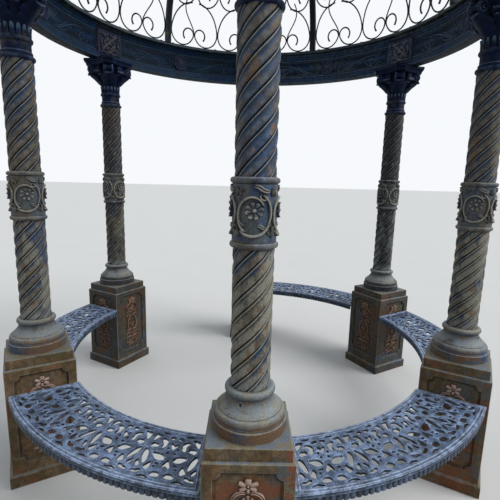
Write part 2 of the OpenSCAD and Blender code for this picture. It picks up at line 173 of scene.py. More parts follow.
def make_piece(name, sheets, material, node=None, sharp=38):
    """Makes one mesh from sheets. Points that meet are merged, so seams and poles close, and
    edges sharper than the given angle stay crisp. It stands for its node."""
    sheet = joined(sheets)
    mesh = bpy.data.meshes.new(name)
    mesh.vertices.add(len(sheet.points))
    mesh.vertices.foreach_set("co", sheet.points.astype(np.float32).ravel())
    corners = sheet.quads[sheet.quads >= 0]
    counts = (sheet.quads >= 0).sum(axis=1)
    mesh.loops.add(len(corners))
    mesh.loops.foreach_set("vertex_index", corners.astype(np.int32))
    mesh.polygons.add(len(counts))
    mesh.polygons.foreach_set("loop_start", (np.cumsum(counts) - counts).astype(np.int32))
    mesh.update(calc_edges=True)
    # Each point's value of wear (high) and painted shade (low), which the paint reads.
    attribute = mesh.attributes.new("wear_and_shade", "FLOAT", "POINT")
    attribute.data.foreach_set("value", sheet.wear_and_shade.astype(np.float32))
    merge_points(mesh)
    return finish_piece(name, mesh, material, node, sharp)


def merge_points(mesh, distance=0.02 * MM):
    """Joins points that lie together, which closes seams and turns quads at a pole into triangles."""
    work = bmesh.new()
    work.from_mesh(mesh)
    bmesh.ops.remove_doubles(work, verts=work.verts, dist=distance)
    bmesh.ops.dissolve_degenerate(work, dist=distance / 2, edges=work.edges)
    work.to_mesh(mesh)
    work.free()


def finish_piece(name, mesh, material, node, sharp):
    """Shades the mesh, gives it its material and ties it to the frame."""
    mesh.polygons.foreach_set("use_smooth", np.ones(len(mesh.polygons), bool))
    mesh.set_sharp_from_angle(angle=math.radians(sharp))
    mesh.materials.append(material)
    piece = bpy.data.objects.new(name, mesh)
    bpy.context.scene.collection.objects.link(piece)
    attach(piece, "root")
    if node:
        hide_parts(node)
    return piece


# Profiles and turned pieces


def arc(r, z, radius, start, end, steps=8):
    """Points of a circular arc in the (r, z) plane, between two angles in degrees."""
    a = np.radians(np.linspace(start, end, steps))
    return np.column_stack([r + radius * np.cos(a), z + radius * np.sin(a)])


def profile(*parts):
    """Joins points and arcs into one profile, in metres from millimetres."""
    return np.concatenate([np.atleast_2d(np.asarray(part, float)) for part in parts]) * MM


def finer(outline, reach=4 * MM):
    """The profile with points a little inside both ends of each long stretch, so that wear and painted shade
    stay near its edges."""
    rows = [outline[:1]]
    for a, b in zip(outline[:-1], outline[1:]):
        length = np.hypot(*(b - a))
        if length > 3 * reach:
            inner = [a + (b - a) * s for s in (reach / length, 1 - reach / length)]
            rows += [p[None] for p in inner if p[0] > 50 * MM]
        rows.append(b[None])
    return np.concatenate(rows)


def turned(outline, steps=60, wear_and_shade=None):
    """Turns a profile about the Z axis: the point at angle a is (r cos a, r sin a, z)."""
    if wear_and_shade is None:
        outline = finer(outline)
        wear_and_shade = edge_wear_and_shade(outline)[None, :]
    points = about_axis(outline[None, :, 0], round_angles(steps), outline[None, :, 1])
    return grid(points, wear_and_shade, close_u=True)


def edge_wear_and_shade(outline):
    """Wear and painted shade along a profile: 1, pale with wear, where it turns outwards sharply, 0.4 where
    it is flat and 0, painted shade, where it turns inwards."""
    step = np.diff(outline, axis=0)
    way = np.unwrap(np.arctan2(step[:, 1], step[:, 0]))
    turn = np.concatenate([[0], np.diff(way), [0]])
    bend = turn / math.radians(60)
    return np.clip(0.4 + np.where(bend > 0, 0.6, 0.4) * bend, 0, 1)


def carried(angle, out=RING_R):
    """A function that carries points from the axis out to a place on the column circle. The
    local -Y side faces outwards."""
    c, s = math.cos(angle), math.sin(angle)

    def move(points):
        x, y, z = points[..., 0], points[..., 1] - out, points[..., 2]
        return np.stack([x * c - y * s, x * s + y * c, z], axis=-1)

    return move


def at_column(k):
    return carried((k - 1) * BAY)


# Relief on flat and round faces


def on_drum(radius, turn=0.0):
    """Carries (x, y, height) onto the outside of an upright drum, with x along the girth."""

    def move(points):
        a = points[..., 0] / radius + turn - math.pi / 2
        return about_axis(radius + points[..., 2], a, points[..., 1])

    return move


def inside_ring(radius, turn=0.0):
    """Carries (x, y, height) onto the inner face of a ring, with x to the right as seen from the
    middle of the ring."""

    def move(points):
        a = -points[..., 0] / radius + turn - math.pi / 2
        return about_axis(radius - points[..., 2], a, points[..., 1])

    return move


def on_side(distance, quarter):
    """Carries (x, y, height) onto one of the four upright sides of a square block."""
    c, s = math.cos(quarter * math.pi / 2), math.sin(quarter * math.pi / 2)

    def move(points):
        x, y = points[..., 0], -distance - points[..., 2]
        return np.stack([x * c - y * s, x * s + y * c, points[..., 1]], axis=-1)

    return move


def smooth_path(points, steps):
    """A smooth curve through a few points, with equal steps of the summed chord lengths. Each
    stretch is a cubic whose slope at a point follows the line between its neighbours."""
    p = np.asarray(points, float)
    chord = np.concatenate([[0], np.cumsum(np.linalg.norm(np.diff(p, axis=0), axis=1))])
    slope = np.gradient(p, chord, axis=0)
    t = np.linspace(0, chord[-1], steps)
    k = np.clip(np.searchsorted(chord, t, side="right") - 1, 0, len(p) - 2)
    span = (chord[k + 1] - chord[k])[:, None]
    s = ((t - chord[k])[:, None]) / span
    return (
        (2 * s**3 - 3 * s**2 + 1) * p[k]
        + (s**3 - 2 * s**2 + s) * span * slope[k]
        + (3 * s**2 - 2 * s**3) * p[k + 1]
        + (s**3 - s**2) * span * slope[k + 1]
    )


def stroke(points, width, height, steps=16, across=7, form="round", ends=(0.25, 0.25), sink=1.0):
    """Raised stroke along a path on a flat face, in metres from millimetres. Across it, v runs
    from -1 to 1 and the height is a half circle (round) or two lobes with a vein (leaf). Along
    it the width swells from the first end's share to 1 and back to the last end's share."""
    path = smooth_path(points, steps)
    along = heading(path)
    side = np.column_stack([-along[:, 1], along[:, 0]])
    t = np.linspace(0, 1, steps)
    end = np.where(t < 0.5, *ends)
    share = end + (1 - end) * np.sin(np.pi * t) ** 0.6
    v = np.linspace(-1, 1, across)
    if form == "round":
        rise = np.sqrt(1 - v**2)
    else:
        rise = (1 - v**6) * (0.45 + 0.55 * np.sin(np.pi * 0.9 * np.abs(v)))
    lift = rise[None, :] * (height * (0.35 + 0.65 * share))[:, None]
    lift[:, [0, -1]] = -sink
    lift[[0, -1], :] = -sink
    flat = path[:, None, :] + side[:, None, :] * (v[None, :] * (width * share)[:, None])[..., None]
    points = np.concatenate([flat, lift[..., None]], axis=-1) * MM
    return grid(points, np.clip(lift / height, 0, 1))


def strokes(rows, side=1):
    """Strokes from rows of a path and the other arguments of a stroke. A side of -1 mirrors
    their paths."""
    return [stroke([(side * x, y) for x, y in path], *rest) for path, *rest in rows]


def boss(x, y, radius, height, around=14, rings=5):
    """Round knob on a face: a quarter circle in height from its rim to its top."""
    t = np.linspace(0, 1, rings)[None, :] * math.pi / 2
    r = radius * np.cos(t)
    r[0, -1] = 0
    lift = height * np.sin(t) - (t == 0)
    points = (about_axis(r, round_angles(around), lift) + [x, y, 0]) * MM
    return grid(points, np.clip(lift, 0, height) / height, close_u=True)


def flower(x, y, radius, height, petals, turn, around):
    """Open flower: the rim's radius and the height both follow |cos| of the petals' angle, each
    petal rises towards its rim and drops to the face at the edge, and a boss closes the middle."""
    a = round_angles(around)
    s = np.array([1.0, 0.96, 0.86, 0.7, 0.5, 0.3, 0.12])[None, :]
    fold = np.abs(np.cos(petals * (a - turn) / 2))
    rim = radius * (0.76 + 0.24 * fold**0.5)
    lift = height * (0.25 + 0.75 * s**1.5) * (0.25 + 0.75 * fold**0.6)
    lift = np.where(s > 0.99, -1.0, lift)
    points = (about_axis(rim * s, a, lift) + [x, y, 0]) * MM
    petal = grid(points, np.clip(lift / height, 0, 1), close_u=True)
    return [petal, boss(x, y, radius * 0.32, height * 0.95)]


# Materials


class Recipe:
    """Shader nodes under construction: each call adds a node and returns its output."""

    def __init__(self, tree, coordinates):
        self.tree = tree
        self.place = self.add("TexCoord", coordinates)

    def set(self, socket, value):
        if hasattr(value, "is_output"):
            self.tree.links.new(value, socket)
        else:
            socket.default_value = value

    def add(self, kind, output, inputs=None, **settings):
        """Adds a node with its settings, and sets its inputs to values or links them."""
        node = self.tree.nodes.new("ShaderNode" + kind)
        for name, value in settings.items():
            setattr(node, name, value)
        for name, value in (inputs or {}).items():
            self.set(node.inputs[name], value)
        return node.outputs[output]

    def noise(self, scale, detail=4.0, roughness=0.6, stretch=None):
        place = self.place
        if stretch:
            place = self.add("Mapping", "Vector", {"Vector": place, "Scale": stretch})
        inputs = {"Vector": place, "Scale": scale, "Detail": detail, "Roughness": roughness}
        return self.add("TexNoise", "Fac", inputs)

    def attribute(self, name):
        return self.add("Attribute", "Fac", attribute_name=name)

    def height(self):
        return self.add("SeparateXYZ", "Z", {"Vector": self.place})

    def upward(self):
        """How far the surface faces up, from the shading normal."""
        return self.add("SeparateXYZ", "Z", {"Vector": self.add("NewGeometry", "Normal")})

    def openness(self, reach):
        """1 on open faces, falling towards 0 in crevices narrower than the given reach."""
        return self.add("AmbientOcclusion", "AO", {"Distance": reach}, samples=6, only_local=True)

    def math(self, operation, a, b=0.0, c=0.0):
        return self.add("Math", "Value", {0: a, 1: b, 2: c}, operation=operation)

    def band(self, value, low, high):
        """0 below low, 1 above high, smooth between them."""
        inputs = {"Value": value, "From Min": low, "From Max": high}
        return self.add("MapRange", "Result", inputs, interpolation_type="SMOOTHSTEP")

    def ranged(self, value, low, high, to_low, to_high):
        """A value carried in a straight line from one range to another."""
        inputs = {"Value": value, "From Min": low, "From Max": high, "To Min": to_low, "To Max": to_high}
        return self.add("MapRange", "Result", inputs)

    def drift(self, value, low, high):
        """A factor from low to high, following a noise from its usual least to its usual most."""
        return self.math("MULTIPLY_ADD", self.band(value, 0.34, 0.66), high - low, low)

    def scaled(self, colour, share):
        """The colour made darker or paler by a factor."""
        return self.add("VectorMath", "Vector", {0: colour, "Scale": share}, operation="SCALE")

    def drifting(self, colour, noise, low, high):
        """A plain colour, made darker and paler by a noise."""
        node = self.tree.nodes.new("ShaderNodeRGB")
        node.outputs[0].default_value = colour
        return self.scaled(node.outputs[0], self.drift(noise, low, high))

    def mix(self, share, a, b):
        return self.add("Mix", 2, {0: share, 6: a, 7: b}, data_type="RGBA")

    def over(self, colour, coat, mask, share):
        """The colour with a coat over it where the mask is high, up to a share."""
        return self.mix(self.math("MULTIPLY", mask, share), colour, coat)

    def bump(self, height, strength, distance):
        inputs = {"Strength": strength, "Distance": distance, "Height": height}
        return self.add("Bump", "Normal", inputs)

    def seen(self):
        """1 for what the camera, a glossy face or a lens sees, 0 for the light thrown back."""
        rays = self.tree.nodes.new("ShaderNodeLightPath").outputs
        either = self.math("MAXIMUM", rays["Is Camera Ray"], rays["Is Glossy Ray"])
        return self.math("MAXIMUM", either, rays["Is Transmission Ray"])


class Finish(Recipe):
    """A material under construction."""

    def __init__(self, name):
        self.material = bpy.data.materials.new(name)
        self.material.use_nodes = True
        super().__init__(self.material.node_tree, "Object")
        self.shader = self.tree.nodes["Principled BSDF"].inputs


def tone(colour):
    """A linear colour from the usual 0 to 255 values."""
    linear = [((c / 255 + 0.055) / 1.055) ** 2.4 if c > 10 else c / 255 / 12.92 for c in colour]
    return (*linear, 1.0)


def old_paint(name, hollow, body, second, crest, stains, rough=(0.5, 0.75), wear=(0.5, 0.85),
              contrast=1.0, reach=22, crevice_shade=0.9, upper=None, grain=1.0, shine=0.4, follow=0.0):
    """Old paint on cast iron. The body drifts between two tones and is mottled, streaked and grained.
    Hollows, where the wear and shade value is low, and crevices, found by ambient occlusion, get painted
    shade in the hollow tone; rubbed crests show their own tone with pale flecks; faces that look up get
    painted sky light in the two upper tones; and each stain (tone, noise scale, share and, where it has one,
    height range) breaks through where its noise is high. Roughness and bump follow the same noises."""
    f = Finish(name)
    hollow, crest = tone(hollow), tone(crest)
    broad = f.noise(6.0, 5.0, 0.6, (1.0, 1.0, grain))
    mid = f.noise(38.0, 6.0, 0.65)
    fine = f.noise(260.0, 4.0, 0.7)
    streak = f.noise(30.0, 4.0, 0.6, (1.0, 1.0, 0.12))
    wear_and_shade = f.attribute("wear_and_shade")
    if follow:
        broad = f.math("ADD", broad, f.math("MULTIPLY_ADD", wear_and_shade, follow, -0.36 * follow))
    colour = f.mix(f.band(broad, 0.38, 0.62), tone(body), tone(second))
    for noise, spread in ((mid, 0.34), (fine, 0.26), (streak, 0.16)):
        colour = f.scaled(colour, f.drift(noise, 1 - spread * contrast, 1 + spread * contrast))
    for number, (stain, scale, share, *heights) in enumerate(stains):
        patch = f.noise(scale, 7.0, 0.7, (1.0, 1.0, grain * (0.8 + 0.2 * number)))
        mask = f.band(patch, 1 - share, 1.08 - share)
        if heights:
            low, high = heights
            z = f.height()
            mask = f.math("MULTIPLY", mask, f.band(z, low, low + 0.05))
            mask = f.math("MULTIPLY", mask, f.band(z, high + 0.05, high))
        colour = f.over(colour, f.drifting(tone(stain), fine, 0.7, 1.3), mask, 0.85)
    # Painted sky light: faces that look up turn paler, towards the two upper tones.
    if upper:
        skylit = f.band(f.math("MULTIPLY_ADD", mid, 0.9, f.upward()), 0.85, 1.42)
        sky_tone = f.mix(f.band(f.noise(17.0, 6.0, 0.65), 0.42, 0.58), tone(upper[0]), tone(upper[1]))
        colour = f.over(colour, f.scaled(sky_tone, f.drift(fine, 0.75, 1.2)), skylit, 0.72)
    # Painted shade: where the wear and shade value is low, in hollows, grooves and inner corners, the colour
    # goes towards the hollow tone.
    shade = f.band(f.math("MULTIPLY_ADD", mid, 0.3, wear_and_shade), 0.5, 0.1)
    colour = f.over(colour, hollow, shade, 0.85)
    # Painted shade in crevices: ambient occlusion darkens the colour towards the hollow tone.
    crevice = f.band(f.math("MULTIPLY_ADD", mid, 0.2, f.openness(reach * MM)), 0.95, 0.45)
    colour = f.over(colour, hollow, crevice, crevice_shade)
    bright = f.band(f.math("MULTIPLY_ADD", mid, 0.6, f.math("SUBTRACT", wear_and_shade, 0.3)), *wear)
    colour = f.over(colour, f.drifting(crest, fine, 0.75, 1.2), bright, 0.75)
    fleck = f.band(f.noise(520.0, 2.0, 0.5), 0.66, 0.72)
    colour = f.over(colour, crest, fleck, 0.6 * contrast)
    f.set(f.shader["Base Color"], colour)
    f.set(f.shader["Roughness"], f.ranged(mid, 0.3, 0.7, *rough))
    pits = f.math("ADD", f.math("MULTIPLY", mid, 0.7), f.math("MULTIPLY", fine, 0.3))
    f.set(f.shader["Normal"], f.bump(pits, 0.5, 1.2 * MM))
    f.set(f.shader["Specular IOR Level"], shine)
    return f.material


# Columns 3 to 5 take darker copies of the pedestal, garland and column paints: painted shade.
PAINTED_SHADE_COLUMNS = (3, 4, 5)
# Bays 1 to 3 take paler copies of the frieze and block paints: painted light.
PAINTED_LIGHT_BAYS = (1, 2, 3)
RUST = (116, 68, 44)
ORANGE_RUST = (128, 88, 56)
OLIVE = (78, 76, 46)
SLATE = (80, 86, 88)
MOSS = (82, 92, 46)
FOOT = (PEDESTAL_TOP + 0.035, PEDESTAL_TOP + 0.16)
DRUM = (PEDESTAL_TOP - 0.06, PEDESTAL_TOP + 0.034)
BELL = (PEDESTAL_TOP + 0.085, PEDESTAL_TOP + 0.112)
LOWER = (PEDESTAL_TOP + 0.16, PEDESTAL_TOP + 0.60)
BAND = (PEDESTAL_TOP + 0.60, PEDESTAL_TOP + 0.815)


def pedestal_finish(name, body, second, slate, rust, rusty):
    """Brown paint gone to rust in patches, with olive growth and slate patches, and pale painted sky light
    on faces that look up.
    """
    stains = [(OLIVE, 11.0, 0.45), (slate, 7.0, 0.46), (rust, 5.5, rusty),
              (ORANGE_RUST, 15.0, rusty - 0.09), ((112, 108, 84), 10.0, rusty - 0.09)]
    return old_paint(name, (26, 20, 13), body, second, (138, 136, 122), stains,
                     upper=((104, 118, 134), (118, 114, 92)), shine=0.25)


pedestal_iron = pedestal_finish("pedestal iron", (94, 74, 50), (100, 86, 66), SLATE, RUST, 0.49)
# A darker copy of the pedestal paint for columns 3 to 5: painted shade.
painted_shade_pedestal_iron = pedestal_finish("pedestal iron with painted shade", (68, 56, 44), (58, 61, 60), (62, 74, 90),
                                     (88, 62, 44), 0.45)


def garland_finish(name, crest):
    """Brown paint of the garlands, rubbed to a paler tone on the leaves."""
    return old_paint(name, (20, 12, 8), (84, 60, 48), (98, 72, 58), crest, [(ORANGE_RUST, 16.0, 0.38)],
                     wear=(0.35, 0.8), reach=18, shine=0.25)


garland_iron = garland_finish("garland iron", (184, 158, 144))
# A darker copy of the garland paint for columns 3 to 5: painted shade.
painted_shade_garland_iron = garland_finish("garland iron with painted shade", (144, 114, 96))


def column_finish(name, body, second, crest, low, drum, tan, wear=(0.5, 0.85)):
    """Paint of a column: pale and brown with rust on the foot, tan on the lower shaft and bluer
    above."""
    stains = [(low, 11.0, 0.54, *LOWER), ((122, 127, 126), 9.0, 0.60, *FOOT),
              ((44, 52, 64), 12.0, 0.70, *BELL), ((88, 94, 98), 12.0, 0.55, *BAND), (drum, 9.0, 0.54, *DRUM),
              (tan, 17.0, 0.45), ((98, 94, 68), 14.0, 0.39, FOOT[0], LOWER[1]), ((150, 112, 84), 21.0, 0.34)]
    # The upper tones are painted sky light on faces that look up.
    return old_paint(name, (24, 27, 30), body, second, crest, stains, crevice_shade=0.85, grain=0.5, shine=0.25,
                     upper=((124, 136, 150), (138, 134, 114)), follow=0.5, wear=wear)


column_iron = column_finish("column iron", (42, 67, 98), (92, 86, 76), (154, 152, 140), (134, 132, 120),
                            (100, 74, 50), (110, 86, 62))
# Darker copies of the column paint for columns 4 and 5, and for column 3: painted shade.
painted_shade_column_iron = column_finish("column iron with painted shade", (32, 42, 58), (54, 48, 46), (158, 150, 130),
                                 (104, 104, 92), (58, 58, 58), (70, 58, 48), (0.53, 0.74))
painted_shade_blue_column_iron = column_finish("blue column iron with painted shade", (16, 26, 44), (28, 32, 40), (158, 152, 136),
                                 (106, 114, 116), (58, 58, 58), (42, 42, 48), (0.53, 0.74))
capital_stains = [((44, 44, 42), 20.0, 0.28),
                  ((48, 48, 50), 12.0, 0.48, COLUMN_TOP - 0.06, COLUMN_TOP + 0.09)]
capital_paint = old_paint("capital paint", (1, 4, 14), (5, 19, 50), (10, 26, 52), (92, 112, 138),
                          capital_stains, rough=(0.45, 0.7), wear=(0.45, 0.85), reach=9, crevice_shade=0.7, shine=0.1)
bench_stains = [((54, 66, 86), 16.0, 0.45), ((136, 146, 154), 34.0, 0.38)]
bench_paint = old_paint("bench paint", (5, 9, 15), (76, 93, 120), (98, 115, 142), (190, 202, 222),
                        bench_stains, rough=(0.42, 0.62), contrast=1.6, shine=0.3)


def frieze_finish(name, body, second, crest):
    """Dark paint of the frieze, olive along its lower lip."""
    stains = [((56, 64, 52), 14.0, 0.34), ((54, 64, 46), 9.0, 0.58, FRIEZE_TOP - 0.28, FRIEZE_TOP - 0.255)]
    return old_paint(name, (3, 9, 18), body, second, crest, stains, shine=0.1)


frieze_paint = frieze_finish("frieze paint", (12, 36, 66), (20, 43, 63), (58, 78, 96))
# A paler copy of the frieze paint for bays 1 to 3: painted light.
painted_light_frieze_paint = frieze_finish("frieze paint with painted light", (38, 60, 92), (52, 68, 84), (106, 120, 134))


def block_finish(name, body, second, crest):
    """Dark paint of the blocks over the columns, browner than the frieze's."""
    return old_paint(name, (4, 8, 18), body, second, crest, [((62, 54, 56), 10.0, 0.44)], reach=12,
                     shine=0.1)


block_paint = block_finish("block paint", (34, 38, 60), (30, 40, 62), (98, 96, 102))
# A paler copy of the block paint for bays 1 to 3: painted light.
painted_light_block_paint = block_finish("block paint with painted light", (54, 62, 84), (50, 62, 86), (134, 136, 146))
dome_paint = old_paint("dome paint", (6, 9, 14), (18, 28, 42), (24, 32, 42), (66, 76, 88),
                       [(MOSS, 26.0, 0.50, CURB_TOP - 0.10, CURB_TOP + 0.10)], rough=(0.45, 0.7), shine=0.15)


# Pedestals

NOTCH_R = 26 * MM
PANEL_SIDE = 36 * MM
PANEL_FOOT = 48 * MM
PANEL_HEAD = 26 * MM
PANEL_SINK = 8 * MM
CORNER_R = 3 * MM
CORNER_BEND = np.radians([-90, -70, -45, -20, 0])
EDGE_STEPS = np.array([0, 14, 28, 42, 62]) * MM
PANEL_HALF = DIE_HALF - PANEL_SIDE
PANEL_LOW = DIE_FOOT + PANEL_FOOT
PANEL_HIGH = DIE_TOP - PANEL_HEAD


def edge_marks(low, high):
    """Places along an edge where points lie, close together near its ends."""
    return np.concatenate([low + EDGE_STEPS, (high - EDGE_STEPS)[::-1]])


def square_section(half, corner):
    """Outline of a square with round corners, anticlockwise from the start of the -Y side."""
    centre = half - corner
    flat = edge_marks(-centre, centre)
    side = np.column_stack([flat, np.full_like(flat, -half)])
    bend = CORNER_BEND[1:-1]
    turn = np.column_stack([centre + corner * np.cos(bend), -centre + corner * np.sin(bend)])
    return turned_four(np.concatenate([side, turn]))


def turned_four(quarter):
    """A quarter of an outline, repeated at each right angle, anticlockwise."""
    turns = [((1, 0), (0, 1)), ((0, 1), (-1, 0)), ((-1, 0), (0, -1)), ((0, -1), (1, 0))]
    return np.concatenate([quarter @ np.array(t, float) for t in turns])


def square_body(outline):
    """Carries a square with round corners up a profile of (half width, height). A width of 0
    closes it in a point."""
    outline = finer(outline)
    rows = []
    for half, z in outline:
        section = square_section(half or PLINTH_HALF, CORNER_R)
        rows.append(at_height(section if half else 0 * section, z))
    return grid(np.stack(rows, axis=1), edge_wear_and_shade(outline)[None, :], close_u=True)


def panel_edge(inset):
    """Outline of the sunk panel, set in by a distance: a rectangle whose corners are hollow
    quarter circles about the corners of the full panel."""
    radius = NOTCH_R + inset
    lead = math.asin(inset / radius)
    half_w, half_h = PANEL_HALF, (PANEL_HIGH - PANEL_LOW) / 2
    a = np.linspace(lead, math.pi / 2 - lead, 9)
    corners = []
    for sx, sy in ((1, -1), (1, 1), (-1, 1), (-1, -1)):
        along = a if sx * sy < 0 else a[::-1]
        x, y = half_w - radius * np.cos(along), half_h - radius * np.sin(along)
        corners.append(np.column_stack([sx * x, sy * y]))
    return np.concatenate(corners)


def die_border():
    """Points round the flat face of the die, one for each point of the panel's edge."""
    half_w, half_h = DIE_HALF - CORNER_R, (DIE_TOP - DIE_FOOT) / 2
    middle = (PANEL_HIGH + PANEL_LOW - DIE_TOP - DIE_FOOT) / 2
    low_x = np.column_stack([half_w - EDGE_STEPS[::-1], np.full(5, -half_h)])
    low_y = np.column_stack([np.full(4, half_w), -half_h + EDGE_STEPS[1:]])
    one = np.concatenate([low_x, low_y])
    two = one[::-1] * [1, -1]
    ring = np.concatenate([one, two, one * [-1, -1], two * [-1, -1]])
    return ring - [0, middle]


def die_face():
    """One side of the die in (x, y, height): the flat border, the moulded edge and the sunk panel, as strips
    between outlines that have the same number of points. The edge's rows are the inset, the depth and the
    wear, whose low values paint shade in the hollow of the moulding."""
    edge = [(-2, 0, 0.4), (0, 0, 0.8), (1.5, -1.6, 0.1), (4, -2.4, 0.1), (6, -5, 0.1), (9, -8, 0.1)]
    outlines = [at_height(die_border(), 0)]
    outlines += [at_height(panel_edge(inset * MM), depth * MM) for inset, depth, _ in edge]
    outlines += [outlines[-1] * [share, share, 1] for share in (0.9, 0.5, 0)]
    wear_and_shade = [0.4] + [wear for _, _, wear in edge] + [0.4, 0.4, 0.4]
    points = np.stack(outlines, axis=1)
    points[..., 1] += (PANEL_HIGH + PANEL_LOW) / 2
    return grid(points, np.array(wear_and_shade)[None, :], close_u=True)


def garland():
    """Cast drop of flowers and leaves on a sunk panel, from an open flower at the top through
    paired leaves and an oval of two stems to a spray at the foot. The first list is drawn on
    both sides of the middle."""
    paired = [
        ([(4, 508), (18, 512), (33, 518)], 9.8, 11, 9, 9, "round", (0.5, 0.7)),
        ([(4, 502), (16, 495), (29, 489)], 9, 10, 9, 9, "round", (0.5, 0.7)),
        ([(0, 478), (20, 482), (44, 470), (52, 446), (40, 436)], 8, 10, 12, 5, "leaf", (0.5, 0.4)),
        ([(6, 452), (22, 450), (34, 430), (24, 412)], 8, 9, 10, 5, "leaf"),
        ([(0, 430), (16, 420), (44, 420), (56, 402)], 7, 8, 10, 5, "leaf"),
        ([(0, 400), (14, 392), (38, 396), (54, 380), (46, 368)], 7, 8, 12, 5, "leaf"),
        ([(0, 392), (26, 370), (42, 332), (36, 290), (8, 262)], 6, 9, 16, 5, "round", (0.6, 0.6)),
    ]
    for y, reach, drop in ((350, 26, 16), (322, 28, 18), (296, 24, 16)):
        path = [(0, y - 10), (reach * 0.5, y + 4), (reach, y - drop)]
        paired.append((path, 6, 8, 8, 5, "leaf", (0.5, 0.3)))
    for y, reach, rise in ((262, 52, -6), (240, 58, -20), (206, 54, -8)):
        path = [(0, y), (reach * 0.4, y + 12), (reach, y + 4), (reach + 4, y + rise)]
        paired.append((path, 8, 9, 12, 5, "leaf", (0.4, 0.4)))
    paired += [
        ([(0, 196), (16, 190), (36, 172), (56, 172), (58, 156)], 7, 9, 12, 5, "leaf"),
        ([(0, 176), (12, 160), (32, 150), (44, 138)], 7, 8, 10, 5, "leaf"),
    ]
    stems = [
        ([(0, 478), (1, 440), (-2, 400)], 5, 7, 8, 5, "round", (0.8, 0.8)),
        ([(0, 262), (2, 226), (0, 140)], 5, 8, 10, 5, "round", (0.8, 0.5)),
        ([(0, 170), (0, 150), (0, 130)], 9, 9, 8, 5, "leaf"),
    ]
    petals = [
        ([(0, 510), (0, 519), (0, 533)], 13.5, 12, 9, 9, "round", (0.5, 0.7)),
        ([(0, 498), (0, 490), (0, 480)], 7.5, 11, 8, 7, "round", (0.5, 0.6)),
    ]
    pieces = strokes(paired, -1) + strokes(paired) + strokes(stems)
    pieces += flower(0, 452, 20, 9, 5, 0.3, 20) + flower(0, 318, 15, 9, 5, 0.8, 20)
    pieces += strokes(petals) + [boss(0, 506, 5.5, 12, 12, 4)]
    pieces += [boss(x, 222, 8, 8, 10, 3) for x in (-26, 26)]
    return joined(pieces)


def make_pedestals():
    foot = profile((0, 0), (160, 0), (162, 2), (162, 55), arc(159, 55, 3, 0, 60, 4), (154, 64),
                   (151.5, 66.5), (151, 68))
    head = profile((151, 581), (150.6, 582.5), (149, 584), (142, 586.4), (140.4, 587.4), (140, 589),
                   (140, 627), arc(137, 628, 3, 0, 80, 4), (0, 631))
    body = [square_body(foot), square_body(head)]
    centre = DIE_HALF - CORNER_R
    bend = CORNER_BEND[:, None]
    x, y = centre + CORNER_R * np.cos(bend), -centre + CORNER_R * np.sin(bend)
    points = np.stack(np.broadcast_arrays(x, y, edge_marks(DIE_FOOT, DIE_TOP)), axis=-1)
    corner = grid(points, np.array([0.4, 0.9, 0.9, 0.9, 0.4])[:, None])
    face, drop = die_face(), garland()
    drops = []
    for quarter in range(4):
        body.append(face.placed(on_side(DIE_HALF, quarter)))
        body.append(corner.placed(carried(quarter * math.pi / 2, 0.0)))
        drops.append(drop.placed(on_side(DIE_HALF - PANEL_SINK, quarter)))
    for k in COLUMNS:
        place = at_column(k)
        # Columns 3 to 5 take the darker copies of the paints: painted shade.
        dark = k in PAINTED_SHADE_COLUMNS
        body_paint = painted_shade_pedestal_iron if dark else pedestal_iron
        drop_paint = painted_shade_garland_iron if dark else garland_iron
        make_piece(f"pedestal_body_{k}", [s.placed(place) for s in body], body_paint,
                   f"pedestal_{k}")
        make_piece(f"pedestal_garlands_{k}", [s.placed(place) for s in drops], drop_paint)


# Columns

SHAFT_LOW = 150 * MM + PEDESTAL_TOP
BAND_LOW = SHAFT_LOW + 470 * MM
BAND_HIGH = BAND_LOW + 218 * MM
LOW_SHAFT_R = 68 * MM
TOP_SHAFT_R = 66 * MM
STRAND_STEP = 15 * MM

# In millimetres
BELL_R, BELL_SPREAD = 76, 31
BELL_FOOT, BELL_RISE = 78, 45
BAND_R = 71
WREATHS = 4
# Columns 3 to 5 take darker copies of the column paint: painted shade.
COLUMN_PAINTS = {3: painted_shade_blue_column_iron, 4: painted_shade_column_iron, 5: painted_shade_column_iron}


def twisted_shaft(radius, low, high):
    """Shaft of seven strands. The strand coordinate u runs from one groove to the next, down the
    shaft: a sharp groove at 0, a narrow arris, a shallow hollow and then a broad swell. A point
    at strand s and height z lies at the angle (s + z / lead) of a full turn."""
    u = np.array([0, 0.024, 0.05, 0.08, 0.115, 0.17, 0.26, 0.38, 0.52, 0.68, 0.82, 0.915, 0.96])
    groove = 6.5 * np.exp(-((np.minimum(u, 1 - u) / 0.054) ** 2))
    hollow = 3.2 * np.exp(-(((u - 0.27) / 0.13) ** 2))
    swell = 1.8 * (2 * (u - 0.68)) ** 2
    arris = 0.6 * np.exp(-(((u - 0.105) / 0.045) ** 2))
    depth = np.tile((groove + hollow + swell) * MM, STRANDS)[:, None]
    # Low values paint shade in the groove and the hollow; the arris gets a pale line, of wear and a painted
    # highlight.
    wear_and_shade = np.tile(np.clip(0.55 - hollow / 5 - groove / 5, 0, 1) + arris, STRANDS)[:, None]
    strand = (np.arange(STRANDS)[:, None] + u).reshape(-1, 1)
    z = np.linspace(low - 2 * MM, high + 2 * MM, int((high - low) / STRAND_STEP) + 2)[None, :]
    a = TWO_PI * (strand / STRANDS + (z - SHAFT_LOW) / STRAND_LEAD)
    r = radius - depth + 0.4 * MM * np.sin(a * 3 + z * 31) * np.sin(z * 57)
    points = about_axis(held(r, "constant"), held(a), held(z))
    return grid(points, wear_and_shade, close_u=True)


def bell_radius(s):
    """Radius of the foot's bell, in millimetres, at the share s of its height."""
    return BELL_R + BELL_SPREAD * (1 - s) ** 1.7


